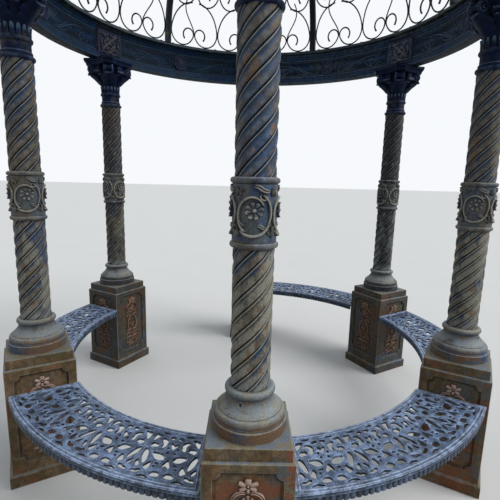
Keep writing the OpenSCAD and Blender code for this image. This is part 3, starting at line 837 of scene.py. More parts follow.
def foot_profile():
    """Foot of the column: drum with a lip, large torus, step, hollow bell and small torus."""
    s = np.linspace(0, 1, 10)
    bell = np.column_stack([bell_radius(s), BELL_FOOT + BELL_RISE * s])
    return profile(
        (0, 0), (127, 0), (128, 1), (128, 36), arc(125.6, 37.6, 2.4, 0, 80, 5), (122.6, 40.4),
        (121.4, 41.6), (121.2, 45), arc(105, 57, 16.8, -28, 78, 11), (108.5, 73.5), (108, 76), bell,
        (75.6, 124.5), arc(73, 137, 13, -78, 84, 14), (69, 150.2), (0, 150.2))


def band_profile():
    """Turned band: two tori and the plain drum between them."""
    return profile(
        (0, 0), (66, 0), arc(68, 9.5, 10, -88, 80, 12), (70.6, 21), (71, 24), (71, 194), (70.6, 197),
        arc(68, 208.5, 10, -80, 88, 12), (64, 218), (0, 218))


def wreath(turn):
    """Round wreath of leafy stems about an open flower, in (x, y, height) on the band, with a
    leaf spray beside it. Stems are arcs of slowly changing radius about the flower."""

    def spiral(start, end, r_start, r_end, count):
        a = np.radians(np.linspace(start, end, count))
        r = np.linspace(r_start, r_end, count)
        return np.column_stack([-2 + r * np.cos(a), 2 + r * 1.2 * np.sin(a)])

    between = BAND_R * math.pi / WREATHS
    rows = [
        (spiral(28, 242, 32, 56, 12), 5.2, 9, 28, 7, "round", (0.5, 0.9)),
        (spiral(222, 330, 62, 52, 8), 6, 9.5, 18, 7, "round", (0.5, 0.7)),
        (spiral(66, -40, 52, 50, 8), 5.2, 9, 18, 7, "round", (0.6, 0.5)),
        ([(-8, 84), (10, 80), (26, 70), (40, 68), (48, 72)], 9, 8, 16, 7, "leaf", (0.3, 0.2)),
        ([(22, 62), (14, 52), (22, 42), (36, 46), (38, 56)], 4, 6, 14, 5, "round", (0.3, 0.6)),
        ([(-44, 52), (-46, 66), (-36, 74), (-26, 68)], 5, 7, 12, 5, "leaf", (0.6, 0.2)),
        ([(-50, -18), (-42, -32), (-30, -34), (-24, -26)], 5, 7, 12, 5, "leaf", (0.8, 0.2)),
        ([(-50, -34), (-56, -48), (-50, -60), (-40, -62)], 5, 7, 12, 5, "leaf", (0.7, 0.2)),
        ([(4, -34), (16, -36), (26, -42), (36, -44)], 7, 7, 12, 7, "leaf", (0.2, 0.5)),
        ([(36, -38), (46, -34), (54, -44)], 5, 7, 9, 5, "leaf", (0.7, 0.1)),
        ([(36, -44), (44, -56), (54, -66)], 6, 7, 9, 5, "leaf", (0.7, 0.1)),
        ([(between, -74), (between, -58), (between + 1, -40)], 7, 8, 8, 5, "leaf", (0.3, 0.2)),
        ([(between, 80), (between, 66), (between - 1, 52)], 6, 8, 8, 5, "leaf", (0.3, 0.2)),
    ]
    relief = joined(flower(-2, 10, 26, 12, 8, 0.25, 48) + strokes(rows))
    relief.wear_and_shade = relief.wear_and_shade * 0.88
    return relief.placed(on_drum(BAND_R * MM, turn))


def bolt_hole():
    """Bolt hole high on the bell of the foot, a shallow cup inside a thin raised rim, painted dark as the
    shade of a deep hole. Its points stand out from the bell."""
    a = round_angles(18)
    r = np.array([9, 8.4, 7, 6, 5.6, 0])[None, :]
    lift = np.array([-3, 1.4, 1.8, 1.2, 0.3, 0.3])[None, :]
    x, z = r * np.cos(a), 110 + r * np.sin(a)
    bell = bell_radius((z - BELL_FOOT) / BELL_RISE)
    points = np.stack([x, z, bell - BELL_R + lift], axis=-1) * MM
    hole = grid(points, np.array([0.5, 0.8, 0.9, 0, 0, 0])[None, :], close_u=True)
    return hole.placed(on_drum(BELL_R * MM, math.radians(-22)))


def make_columns():
    body = [
        turned(foot_profile() + [0, PEDESTAL_TOP], 72),
        twisted_shaft(LOW_SHAFT_R, SHAFT_LOW, BAND_LOW),
        turned(band_profile() + [0, BAND_LOW]),
        twisted_shaft(TOP_SHAFT_R, BAND_HIGH, COLUMN_TOP),
        bolt_hole().raised(PEDESTAL_TOP),
    ]
    middle = (BAND_LOW + BAND_HIGH) / 2
    body += [wreath(n * TWO_PI / WREATHS).raised(middle) for n in range(WREATHS)]
    for k in COLUMNS:
        make_piece(f"twisted_column_{k}", [s.placed(at_column(k)) for s in body],
                   COLUMN_PAINTS.get(k, column_iron), f"column_{k}")


# Capitals

ABACUS_Z = 276
COLLAR_Z = 133
VOLUTE_Z = 247
VOLUTE_OUT = 122
VOLUTE_TURNS = 2.25
ABACUS_HALF = 141


def capital_core():
    """Core of the capital: a turned neck with two tori, and a bell that spreads towards the four
    corners. The bell's radius goes from its face's to its corner's value with sin^4 2a."""
    neck = turned(profile(
        (0, 0), (63, 0), arc(64, 10, 10, -86, 82, 12), (64.5, 21), (64.5, 33.5), (63.5, 35), (60.6, 36),
        (60, 37), (60, 72), arc(57.5, 84, 11, -72, 78, 12), (59, 96), (57, 110), (57, COLLAR_Z),
        (0, COLLAR_Z)))
    a = round_angles(72)
    s = np.linspace(0, 1, 12)[None, :]
    face = 57 + 30 * s**1.2
    corner = np.interp(s, [0, 0.25, 0.5, 0.6, 0.8, 1], [57, 78, 102, 116, 120, 118])
    r = face + (corner - face) * np.sin(2 * a) ** 4
    z = COLLAR_Z - 2 + (ABACUS_Z + 2 - COLLAR_Z) * s
    bell = grid(about_axis(held(r, "constant"), a, held(z)) * MM, 0.3, close_u=True)
    return joined([neck, bell])


def collar(tongues=16):
    """Ring of upright tongues with round tops that lean out: each rises from the core where its
    side step v is within its half width, which closes in over the upper part."""
    a = round_angles(tongues * 10)
    s = np.array([0, 0.12, 0.3, 0.5, 0.65, 0.78, 0.88, 0.95, 1.0, 0.97, 0.9])[None, :]
    lean = np.array([0, 0, 0.4, 1, 1.8, 3, 4.4, 5.6, 5.6, 2, -5])[None, :]
    v = np.abs((a * tongues / TWO_PI) % 1 - 0.5)
    half = 0.46 * np.sqrt(np.clip(1 - (np.clip(s - 0.55, 0, 1) / 0.5) ** 2, 0, 1))
    inside = np.clip((half - v) / 0.08, 0, 1)
    groove = 1.6 * np.exp(-((v / 0.07) ** 2)) * (s > 0.2)
    r = 57 + inside * (6 + 0.8 * lean - groove)
    return grid(about_axis(r, a, 93 + 45 * s) * MM, np.clip(inside * (0.2 + 0.7 * s), 0, 1), close_u=True)


def leaf(path, widths, thick, lobes=0, droop=0.0, flutes=0, steps=14, around=16):
    """Closed leaf in the upright plane through -Y. The path gives radius and height, and the
    side step is width times cos of the section's angle. Lobes narrow the width along the leaf,
    flutes ripple it across, and its edges droop by the square of the side step. Its thickness
    fades to nothing at both ends, which closes them."""
    p = smooth_path(path, steps)
    t = np.linspace(0, 1, steps)
    w = np.interp(t, np.linspace(0, 1, len(widths)), widths)
    if lobes:
        w = w * (0.80 + 0.20 * np.abs(np.sin(np.pi * lobes * t)))
    w = w[:, None]
    along = heading(p)
    a = round_angles(around).T
    v, q = np.cos(a), np.sin(a)
    fade = np.minimum(1, 4 * np.minimum(t, 1 - t))[:, None]
    ripple = 0.35 * np.cos(flutes * np.pi * v) if flutes else 0.5 * np.exp(-((v / 0.16) ** 2)) * np.sign(q)
    off = thick * q * np.sqrt(fade) - droop * v**2 * w + thick * ripple * fade
    points = np.stack([w * v, along[:, 1:] * -off - p[:, :1], p[:, 1:] - along[:, :1] * off], axis=-1) * MM
    tip = np.clip(7 * t - 6, 0, 1)[:, None]
    return grid(points, np.clip(0.16 + 0.4 * q * np.abs(v) + 0.6 * tip, 0, 1), close_v=True)


def volute():
    """Rolled strip at a corner: an arm rises from the bell and rolls up by two and a quarter
    turns. The strip's section is a channel with raised edges, closed underneath."""
    turn = np.linspace(0, VOLUTE_TURNS, 36)
    radius = 23.5 - 16 * (turn / VOLUTE_TURNS) ** 0.8
    a = np.radians(128) - TWO_PI * turn
    roll = np.column_stack([VOLUTE_OUT + radius * np.cos(a), VOLUTE_Z + radius * np.sin(a)])
    arm = smooth_path([(64, 170), (74, 202), (90, 234), roll[0], roll[2]], 12)[:-2]
    p = np.concatenate([arm, roll])
    along = heading(p)
    share = np.linspace(0, 1, len(p))
    half = (16 + 12 * np.clip(share * 4, 0, 1) - 3 * share)[:, None]
    v = np.array([-1, -1, -0.82, -0.66, -0.3, 0.3, 0.66, 0.82, 1, 1, 0.9, -0.9])[None, :]
    lift = np.array([0, 2.2, 2.8, 0.8, 0.2, 0.2, 0.8, 2.8, 2.2, 0, -2.2, -2.2])[None, :]
    r = p[:, :1] - along[:, 1:] * lift
    z = p[:, 1:] + along[:, :1] * lift
    points = np.stack([half * v, -r, z], axis=-1) * MM
    wear_and_shade = np.clip(np.where(np.abs(v) == 1, 0.8, 0.42 + lift / 5), 0, 1)
    eye = turned(profile((0, -17), (12, -17), (14, -15), (14, 15), (12, 17), (0, 17)), 12)
    # The eye's core gets 0 all over: painted shade, standing for a hollow eye.
    eye = Sheet(eye.points[:, [2, 0, 1]] + [0, -VOLUTE_OUT * MM, VOLUTE_Z * MM], eye.quads, eye.wear_and_shade * 0)
    return [grid(points, wear_and_shade, close_v=True), eye, volute_end(-1), volute_end(1)]


def volute_end(side):
    """Round end of the volute, with a ridge that winds in to its eye."""
    a = round_angles(28)
    r = np.array([26, 26, 24.5, 22.5, 20.5, 18.5, 16.5, 14.5, 12.5, 10.5, 8.5, 6, 3, 0])[None, :]
    ridge = np.cos(TWO_PI * r / 11 - a)
    front = 28 + 2.2 * ridge
    front[:, [0, 1, -3, -2, -1]] = [20, 28, 28.5, 31, 32]
    wear_and_shade = np.clip(0.45 + 0.55 * ridge, 0, 1)
    wear_and_shade[:, [0, 1, -3, -2, -1]] = [0.3, 0.8, 0.2, 0.8, 0.9]
    y, z = -VOLUTE_OUT + side * r * np.cos(a), VOLUTE_Z + r * np.sin(a)
    return grid(np.stack([side * front, y, z], axis=-1) * MM, wear_and_shade, close_u=True)


def abacus():
    """Slab with blunt corners and hollow sides. The side at the distance half from the axis curves in by 22
    mm times 1 - (x / side)^2. The rows are the inset, the height and the wear, whose low values paint shade,
    and the first and last are drawn to a point."""
    rows = [(14, 0, 0), (14, 0, 0.5), (11, 1, 0.5), (10, 3, 0.4), (10, 20, 0.2), (9, 22, 0.2), (5, 24, 0.1),
            (2, 25, 0.2), (0.5, 27, 0.5), (0, 29, 0.5), (0, 41, 0.4), (1.5, 43, 0.5), (1.5, 43, 0)]
    x_share = np.linspace(-1, 1, 15)
    sections = []
    for inset, rise, _ in rows:
        half = ABACUS_HALF - inset
        side = half - 60 / math.sqrt(2)
        edge = np.column_stack([side * x_share, -half + 22 * (1 - x_share**2)])
        blunt = [(side + (half - side) * s, -half + (half - side) * s) for s in (0.06, 0.5, 0.94)]
        sections.append(at_height(turned_four(np.concatenate([edge, blunt])), ABACUS_Z + rise))
    points = np.stack(sections, axis=1) * MM
    points[:, [0, -1], :2] = 0
    return grid(points, np.array([row[2] for row in rows])[None, :], close_u=True)


def capital_leaves():
    """The leaves at each face: a tall leaf, the fluted shell with its curled lip over it, two
    small leaves low down, and stalks that lead to the volutes on either side."""
    tall = leaf([(54, 128), (57, 152), (63, 178), (76, 202), (92, 218)], [16, 22, 25, 25, 22], 4, 4, 0.12)
    curl = [(90, 284), (97, 272), (100, 259), (103, 246), (110, 237), (114, 229), (106, 224), (92, 228)]
    shell_leaf = leaf(curl, [16, 20, 24, 27, 30, 31, 28, 20], 4.5, 0, 0.10, 5, 20, 22)
    lip = 0.6 * np.exp(-((shell_leaf.points[:, 2] / MM - 231) / 7) ** 2)
    shell_leaf.wear_and_shade = np.clip(shell_leaf.wear_and_shade + 0.15 + lip, 0, 1)
    low = leaf([(55, 130), (60, 150), (68, 168), (79, 180), (85, 178)], [12, 15, 15, 11, 5], 3.5, 3, 0.15, 0,
               12, 14)
    stalk = [(9, 60, 150), (15, 70, 186), (26, 84, 214), (42, 98, 238), (62, 104, 258), (76, 104, 268)]
    pieces = [tall, shell_leaf]
    for side in (-1, 1):
        pieces.append(low.placed(carried(side * math.radians(22), 0)))
        pieces.append(tube([(side * x, -r, z) for x, r, z in stalk], 5.5, 14, 7, (0.6, 1.0)))
    return pieces


def tube(points, radius, steps, around, taper):
    """Round bar through a few points in millimetres, closed at both ends."""
    p = smooth_path(points, steps)
    along = heading(p)
    side = unit(np.cross(along, [0.0, 0.3, 1.0]))
    return swept(p, side, np.cross(side, along), radius * np.linspace(*taper, steps), around)


def swept(p, side, up, radius, around):
    """Round section carried along points with given side and up directions, closed at the ends."""
    a = round_angles(around)[None, ...]
    way = np.cos(a) * side[:, None, :] + np.sin(a) * up[:, None, :]
    ring = p[:, None, :] + radius[:, None, None] * way
    # Each ring is paler on its up side and darker underneath: painted light and shade.
    return grid(closed_ends(ring) * MM, (0.45 + 0.4 * np.sin(a))[..., 0], close_v=True)


def make_capitals():
    horn_path = [(50, 138), (61, 156), (77, 175), (97, 195), (119, 211), (136, 217), (144, 209)]
    horn = leaf(horn_path, [38, 44, 49, 50, 43, 33, 26], 11, 3, 0.22, 0, 19, 22)
    body = [capital_core(), collar(), abacus()]
    for quarter in range(4):
        face = carried(quarter * math.pi / 2, 0)
        corner = carried((quarter + 0.5) * math.pi / 2, 0)
        body += [s.placed(face) for s in capital_leaves()]
        body += [s.placed(corner) for s in [horn] + volute()]
    body = [s.raised(COLUMN_TOP) for s in body]
    for k in COLUMNS:
        make_piece(f"leafy_capital_{k}", [s.placed(at_column(k)) for s in body], capital_paint,
                   f"capital_{k}")


# Benches

SEAT_IN, SEAT_OUT = 1050, 1350
SEAT_RIM = 21
PLATE_T = 10
DIE_REACH = DIE_HALF / MM
CELLS = 4
CELL_HALF = 114
HOLE_EASE = 0.8
TONGUE = 24


def seat_loop(inset):
    """Outline of a seat in millimetres, set in by a distance from its two arcs and from the
    pedestals' sides, anticlockwise with the outer arc first."""
    low, high = SEAT_IN + inset, SEAT_OUT - inset
    reach = DIE_REACH + inset
    a_out = math.pi / 6 - math.asin(reach / high)
    a_in = math.pi / 6 - math.asin(reach / low)
    outer = polar(np.linspace(-a_out, a_out, 97), high)
    inner = polar(np.linspace(a_in, -a_in, 81), low)
    s = np.linspace(0, 1, 14)[1:-1, None]
    end = outer[-1:] * (1 - s) + inner[:1] * s
    start = inner[-1:] * (1 - s) + outer[:1] * s
    return np.concatenate([outer, end, inner, start])


def polar(angle, radius):
    """Flat points at an angle from -Y and a radius."""
    return np.column_stack([radius * np.sin(angle) + 0 * angle, -radius * np.cos(angle) + 0 * angle])


def on_seat(points, bar, side=1):
    """Points of the seat's pattern, from millimetres along the seat and out from its middle. A
    cell's half runs from its bar to its middle, to one side of the bar."""
    x, y = points[:, 0], points[:, 1]
    radius = GIRTH_R + y
    half = math.pi / 6 - np.arcsin((DIE_REACH + SEAT_RIM) / radius)
    return polar((bar + side * (x / CELL_HALF) / 2) / (CELLS / 2) * half, radius)


def half_cells():
    """Each bar of a seat with each side of it that holds half a cell."""
    bars = range(-CELLS // 2, CELLS // 2 + 1)
    return [(bar, side) for bar in bars for side in (-1, 1) if abs(bar + side * 0.5) < CELLS / 2]


def ellipse(x, y, half_x, half_y, turn):
    """Oval hole about a centre, turned by an angle in degrees."""
    a = np.linspace(0, TWO_PI, 10, endpoint=False)
    u, v = half_x * np.cos(a), half_y * np.sin(a)
    c, s = math.cos(math.radians(turn)), math.sin(math.radians(turn))
    return np.column_stack([x + u * c - v * s, y + u * s + v * c])


def round_off(corners, share=0.25):
    """A polygon with its corners cut, which rounds them."""
    p = np.asarray(corners, float)
    after = np.roll(p, -1, axis=0)
    ends = [p * (1 - share) + after * share, p * share + after * (1 - share)]
    return np.stack(ends, axis=1).reshape(-1, 2)


def cell_holes():
    """Holes between a bar and the middle of a cell, in millimetres from the bar along the seat
    and out from the seat's middle. The middle ones are drawn once, for both halves."""
    side = [
        [(35, -118), (46, -122), (58, -123), (70, -121), (80, -117), (69, -113), (57, -112), (45, -113)],
        [(8, -107), (27, -107), (46, -105), (36, -95), (28, -84), (21, -71), (10, -60)],
        [(79, -98), (88, -106), (107, -108), (107, -93), (97, -89), (84, -92)],
        [(47, -86), (58, -91), (71, -87), (80, -77), (82, -69), (78, -62), (81, -55), (79, -46), (72, -38),
         (65, -34), (62, -44), (65, -55), (63, -66), (57, -74), (49, -79)],
        [(17, -42), (20, -52), (28, -58), (34, -54), (41, -57), (49, -50), (50, -40), (44, -31), (34, -27),
         (24, -30)],
        [(13, -21), (20, -13), (27, -3), (32, 11), (36, 27), (38, 42), (35, 57), (27, 50), (19, 35),
         (12, 17), (8, 0), (9, -12)],
        [(40, -6), (58, -9), (77, -8), (88, -3), (92, 6), (98, 15), (97, 23), (89, 25), (80, 28), (69, 28),
         (57, 19), (47, 6)],
        ellipse(94, -38, 6.4, 4.6, 72),
        ellipse(99, -14, 6.4, 4.4, -70),
        ellipse(81, 44, 8, 4.6, -14),
        ellipse(75, 60, 4.6, 4.2, 0),
        [(56, 38), (61, 52), (61, 68), (56, 81), (48, 78), (38, 68), (43, 58), (50, 46)],
        [(7, 44), (13, 49), (20, 60), (24, 70), (18, 77), (11, 70), (6, 58)],
        [(73, 96), (78, 84), (88, 80), (100, 81), (107, 92), (104, 103), (88, 105), (76, 103)],
        [(34, 117), (45, 110), (57, 106), (69, 110), (80, 117), (68, 118), (57, 116), (46, 118)],
        [(6, 98), (13, 90), (23, 92), (31, 85), (40, 84), (41, 92), (34, 101), (22, 104), (9, 105)],
    ]
    middle = [
        [(-16, -70), (-9, -69), (0, -59), (9, -69), (16, -70), (14, -58), (7, -46), (0, -34), (-7, -46),
         (-14, -58)],
        [(0, 17), (6, 29), (15, 50), (13, 61), (0, 47), (-13, 61), (-15, 50), (-6, 29)],
    ]
    return [[round_off(hole) if isinstance(hole, list) else hole for hole in holes]
            for holes in (side, middle)]


def seat_holes():
    """All holes of a seat, clockwise. The cells lie side by side between the end rims."""
    side, middle = cell_holes()
    centres = np.arange(CELLS) - (CELLS - 1) / 2
    holes = [on_seat(hole, *half) for half in half_cells() for hole in side]
    holes += [on_seat(hole, centre) for centre in centres for hole in middle]
    return [inset_loop(clockwise(hole), HOLE_EASE) for hole in holes]


def clockwise(loop):
    """The loop, turned round if its signed area is positive."""
    x, y = loop[:, 0], loop[:, 1]
    area = np.sum(x * np.roll(y, -1) - y * np.roll(x, -1))
    return loop[::-1] if area > 0 else loop


def inset_loop(loop, distance):
    """Moves a closed loop sideways, to its left, by a distance: each point along the bisector
    of its two edges. Edges that would turn round in a narrow notch shrink to a point."""
    edge = unit(np.roll(loop, -1, axis=0) - loop)
    normal = np.column_stack([-edge[:, 1], edge[:, 0]])
    both = normal + np.roll(normal, 1, axis=0)
    both /= np.clip((both**2).sum(axis=1)[:, None] / 2, 0.4, 2)
    moved = loop + both * distance
    for _ in range(12):
        after = np.roll(moved, -1, axis=0)
        turned_round = ((after - moved) * edge).sum(axis=1)[:, None] < -1e-9
        middle = (moved + after) / 2
        moved = np.where(turned_round, middle, moved)
        moved = np.where(np.roll(turned_round, 1), np.roll(middle, 1, axis=0), moved)
    return moved


def pierced_plate(outer, holes, low, high):
    """Flat plate with holes. Each loop is a strip from the lower face up the wall, which takes painted shade
    and dirt, and over a pale rubbed edge, and the bars swell by half a millimetre towards their middles. The
    faces between the loops are filled with triangles."""
    sheets, corners, loops = [], [], []
    # The wall rows are low, for painted shade and dirt down each hole's wall; the rounded edge above is pale
    # with wear.
    rows = [(0, low, 0.1), (0, high - 2.4, 0), (0, high - 1.3, 0.5), (0.9, high - 0.6, 0.66),
            (2.8, high, 0.45)]
    wear_and_shade = np.array([row[2] for row in rows])[None, :]
    for loop in [outer] + holes:
        levels = [at_height(inset_loop(loop, inset), z) for inset, z, _ in rows]
        sheets.append(grid(np.stack(levels, axis=1) * MM, wear_and_shade, close_u=True))
        order = list(range(len(corners), len(corners) + len(loop)))
        loops.append(order[::-1] if loops else order)
        corners += [Vector(p) for p in levels[-1][:, :2]]
    found, _, faces, same, _, within = delaunay_2d_cdt(corners, [], loops, 1, 1e-5)
    flat = np.array([tuple(p) for p in found])
    fill = np.array([tuple(face) for face, holders in zip(faces, within) if list(holders) == [0]])
    a, b, c = flat[fill[:, 0]], flat[fill[:, 1]], flat[fill[:, 2]]
    signed = (b[:, 0] - a[:, 0]) * (c[:, 1] - a[:, 1]) - (b[:, 1] - a[:, 1]) * (c[:, 0] - a[:, 0])
    fill = np.where(signed[:, None] < 0, fill[:, ::-1], fill)
    none = np.full((len(fill), 1), -1)
    under = np.concatenate([inset_loop(loop, rows[0][0]) for loop in [outer] + holes])
    under = under[[first[0] for first in same]]
    for face, z, triangles in ((flat, high, fill), (under, low, fill[:, ::-1])):
        level = at_height(face, z) * MM
        sheets.append(Sheet(level, np.hstack([triangles, none]), np.full(len(face), 0.4)))
    return sheets


def seat_bead(inset, top):
    """Raised round line along the seat's edges, at a distance in from them."""
    v = np.linspace(-1, 1, 5)
    rise = 2.2 * np.sqrt(1 - v**2) - 0.3
    rows = [at_height(seat_loop(inset + 4.5 * x), top + z) for x, z in zip(v, rise)]
    return grid(np.stack(rows, axis=1) * MM, 0.15 + 0.6 * (1 - v**2)[None, :], close_u=True)


def apron(radius, outward, foot, head):
    """Upright strip under a seat's edge. Below a plain nosing it is a row of tongues, half round across and
    round at their feet. It ends at the pedestals, and both ends are closed. Its section's rows are how far
    it stands out, the height, the shares of the tongues' carving and of their round feet, and the wear, kept
    low so that the strip under the seat takes painted shade, darkest in the grooves between the tongues."""
    reach = math.pi / 6 - math.asin((DIE_REACH + 0.4) / radius)
    tongues = int(2 * reach * radius / TONGUE)
    u = (np.arange(tongues)[:, None] + np.array([0.0, 0.08, 0.25, 0.5, 0.75, 0.92])).reshape(-1)
    u = np.append(u, tongues)
    fall = 1 - np.sqrt(np.clip(1 - (2 * (u % 1) - 1) ** 2, 0, 1))
    a = (u / tongues * 2 - 1) * reach
    sign = 1 if outward else -1
    section = [(0, head, 0, 0, 0.3), (0, head - 3, 0, 0, 0.5), (-0.8, head - 4.4, 0, 0, 0.3),
               (-3.4, head - 5.4, 0, 0, 0), (-2.4, head - 7, 1, 0, 0.05), (-1.6, head - 14, 1, 0, 0.12),
               (-1.4, foot + 5, 1, 0.6, 0.15), (-2.0, foot + 1, 1, 1, 0.26), (-4, foot, 0.5, 1, 0.15),
               (-8, foot, 0, 1, 0.1), (-9, foot + 1, 0, 1, 0), (-9, head, 0, 0, 0)]
    rows, wear_and_shade = [], []
    for out, z, carved, round_foot, wear in section:
        r = radius + sign * np.maximum(out - 4.6 * carved * fall, -8.6 if carved else -9)
        rows.append(at_height(polar(a, 1.0) * r[:, None], z + 5 * round_foot * fall))
        wear_and_shade.append(wear - 0.5 * carved * np.concatenate([[0], fall, [0]]))
    points, wear_and_shade = closed_ends(np.stack(rows, axis=1)), np.stack(wear_and_shade, axis=1)
    if outward:
        points, wear_and_shade = points[::-1], wear_and_shade[::-1]
    return grid(points * MM, np.clip(wear_and_shade, 0, 1), close_v=True)


def seat_ridges(top):
    """Fine raised lines on the bars of the pattern: round each eye and along the stems."""
    a = np.linspace(-2.6, 1.9, 14)
    eye = np.column_stack([36 + 20.5 * np.cos(a), -48.5 + 20.5 * np.sin(a)])
    bar_line = np.array([(3.6, -122), (3.6, -60), (3.6, 0), (3.6, 60), (3.6, 112)])
    stem_line = np.array([(43, -22), (46, -6), (47, 8), (56, 18), (68, 29), (80, 31)])
    pieces = []
    for half in half_cells():
        for line in (eye, bar_line, stem_line):
            ridge = stroke(on_seat(line, *half), 2.2, 1.6, 2 * len(line) + 6, 5, "round", (0.5, 0.5), 0.4)
            ridge.wear_and_shade = ridge.wear_and_shade * 0.75
            pieces.append(ridge.raised(top * MM))
    return pieces


def make_benches():
    top, foot = SEAT_TOP / MM - 2, SEAT_FOOT / MM
    plate_foot = top - PLATE_T
    body = pierced_plate(seat_loop(0), seat_holes(), plate_foot, top)
    body += [seat_bead(7, top), seat_bead(20, top)] + seat_ridges(top)
    body += [apron(SEAT_OUT, True, foot, plate_foot + 0.5), apron(SEAT_IN, False, foot, plate_foot + 0.5)]
    for k in BENCH_BAYS:
        place = carried((k - 0.5) * BAY, 0)
        make_piece(f"pierced_bench_{k}", [s.placed(place) for s in body], bench_paint,
                   f"bench_{k}")


# Frieze

FRIEZE_R = RING_R + 2 * MM
FRIEZE_T = 48 * MM

# In millimetres: the panel's depth, how far a block stands out, and the two profiles as how far
# they stand out and the height
FRIEZE_H = 224
PANEL_DEEP = 5
BLOCK_OUT = 6.5
LIP = np.array([(9, 0), (11.5, 0.6), (12, 2), (12, 9.5), (11, 11), (9.4, 12), (9, 14), (8.7, 18),
                (7.6, 20.5), (6, 22), (6, 26.5), (5.4, 28), (4.4, 32), (2.6, 37), (1, 40), (1, 44), (0, 46)])
PANEL_MARKS = [52, 55.4, 56.6, 62, 63, 65.4, 66.4, 90, 115, 140, 163.6, 164.6, 167, 168, 173.4, 174.6, 179]
CORNICE = np.array([(0, 184), (1.2, 185), (1.6, 188), (3, 192), (5, 196), (5, 204.5), (5.6, 206),
                    (8, 208.4), (9.6, 211.6), (10, 213), (10, 222), (9.2, 223.6), (7, 224)])


def marks(*stretches):
    """Sorted places from stretches of (start, end, step)."""
    counts = [max(2, round((end - start) / step) + 1) for start, end, step in stretches]
    return np.concatenate([np.linspace(start, end, count)
                           for (start, end, step), count in zip(stretches, counts)])


def frieze_faces(k):
    """One bay of the frieze as closed strips, one for the block and one for the panel: down the
    outer face and up the inner one. How far a point stands out depends on its place s along the
    ring and its height z: the lip and cornice run through, the block stands out, and the panel
    is sunk with a raised line inside its edges."""
    s = marks((0, 4.4, 4), (5.6, 216.6, 19), (217.8, 226.7, 9), (227.9, 236, 8), (237.2, 240.8, 4),
              (242, 1237, 42), (1238.2, 1241.8, 4), (1243, 1251, 8), (1252.2, round(GIRTH_R * BAY, 2), 4))
    z = np.concatenate([LIP[:, 1], PANEL_MARKS, CORNICE[:, 1]])
    base = np.concatenate([LIP[:, 0], np.zeros(len(PANEL_MARKS)), CORNICE[:, 0]])

    def within(s_low, s_high, z_low, z_high):
        return ((s > s_low) & (s < s_high))[:, None] & ((z > z_low) & (z < z_high))[None, :]

    out = np.broadcast_to(base, (len(s), len(z)))
    out = np.where(within(5, 217.2, 29, 194), np.maximum(out, BLOCK_OUT), out)
    out = np.where(within(227.3, 1251.6, 56, 174), -PANEL_DEEP, out)
    line = within(236.6, 1242.4, 62.5, 167.5) & ~within(241.4, 1237.6, 66, 164)
    out = np.where(line, -PANEL_DEEP + 2.6, out)
    half_block = math.asin(106 / GIRTH_R) + 5 / GIRTH_R
    a = ((k - 1) * BAY - half_block + s / GIRTH_R)[:, None] - math.pi / 2
    rise = z[None, :] * MM + FRIEZE_TOP - FRIEZE_H * MM
    inner = about_axis(FRIEZE_R - out * MM, a, rise)
    outer = about_axis(FRIEZE_R + FRIEZE_T + out * MM, a, rise)
    wear_and_shade = np.clip(np.gradient(np.gradient(-out, axis=1), axis=1) * 0.4 + 0.3, 0, 1)
    # The lip's underside gets 0, painted shade, and the next row 0.3.
    wear_and_shade[:, :2] = [0, 0.3]
    split = int(np.searchsorted(s, 219))
    parts = []
    for rows in (slice(0, split + 1), slice(split, len(s))):
        loop = np.concatenate([outer[rows], inner[rows, ::-1]], axis=1)
        loop_wear_and_shade = np.concatenate([wear_and_shade[rows], wear_and_shade[rows, ::-1]], axis=1)
        ends = [np.stack([inner[rows][0], outer[rows][0]]), np.stack([outer[rows][-1], inner[rows][-1]])]
        parts.append([grid(loop, loop_wear_and_shade, close_v=True)] + [grid(end, 0.2) for end in ends])
    return parts


def roundel():
    """Round boss: two raised rings about a rosette whose six hollows lie between its petals."""
    a = round_angles(48)
    r, ring = np.array([
        (58, -6), (57.4, 4), (56, 6), (53, 6.4), (50.5, 5.6), (49, 2.5), (46.5, 2.2), (45, 4.2), (42.5, 4.4),
        (40, 2.6), (36, 3.4), (31, 3.8), (26, 4), (21, 4.2), (16, 4.2), (13, 3), (11, 5.4), (7, 7),
        (0, 7.4)]).T[:, None, :]
    hollow = 3.6 * np.exp(-(((r - 30) / 6.5) ** 2)) * np.clip(np.cos(6 * a), 0, 1) ** 0.7
    wear_and_shade = np.clip(ring / 11 - hollow / 5, 0, 1)
    return grid(about_axis(r, a, ring - hollow) * MM, wear_and_shade, close_u=True)


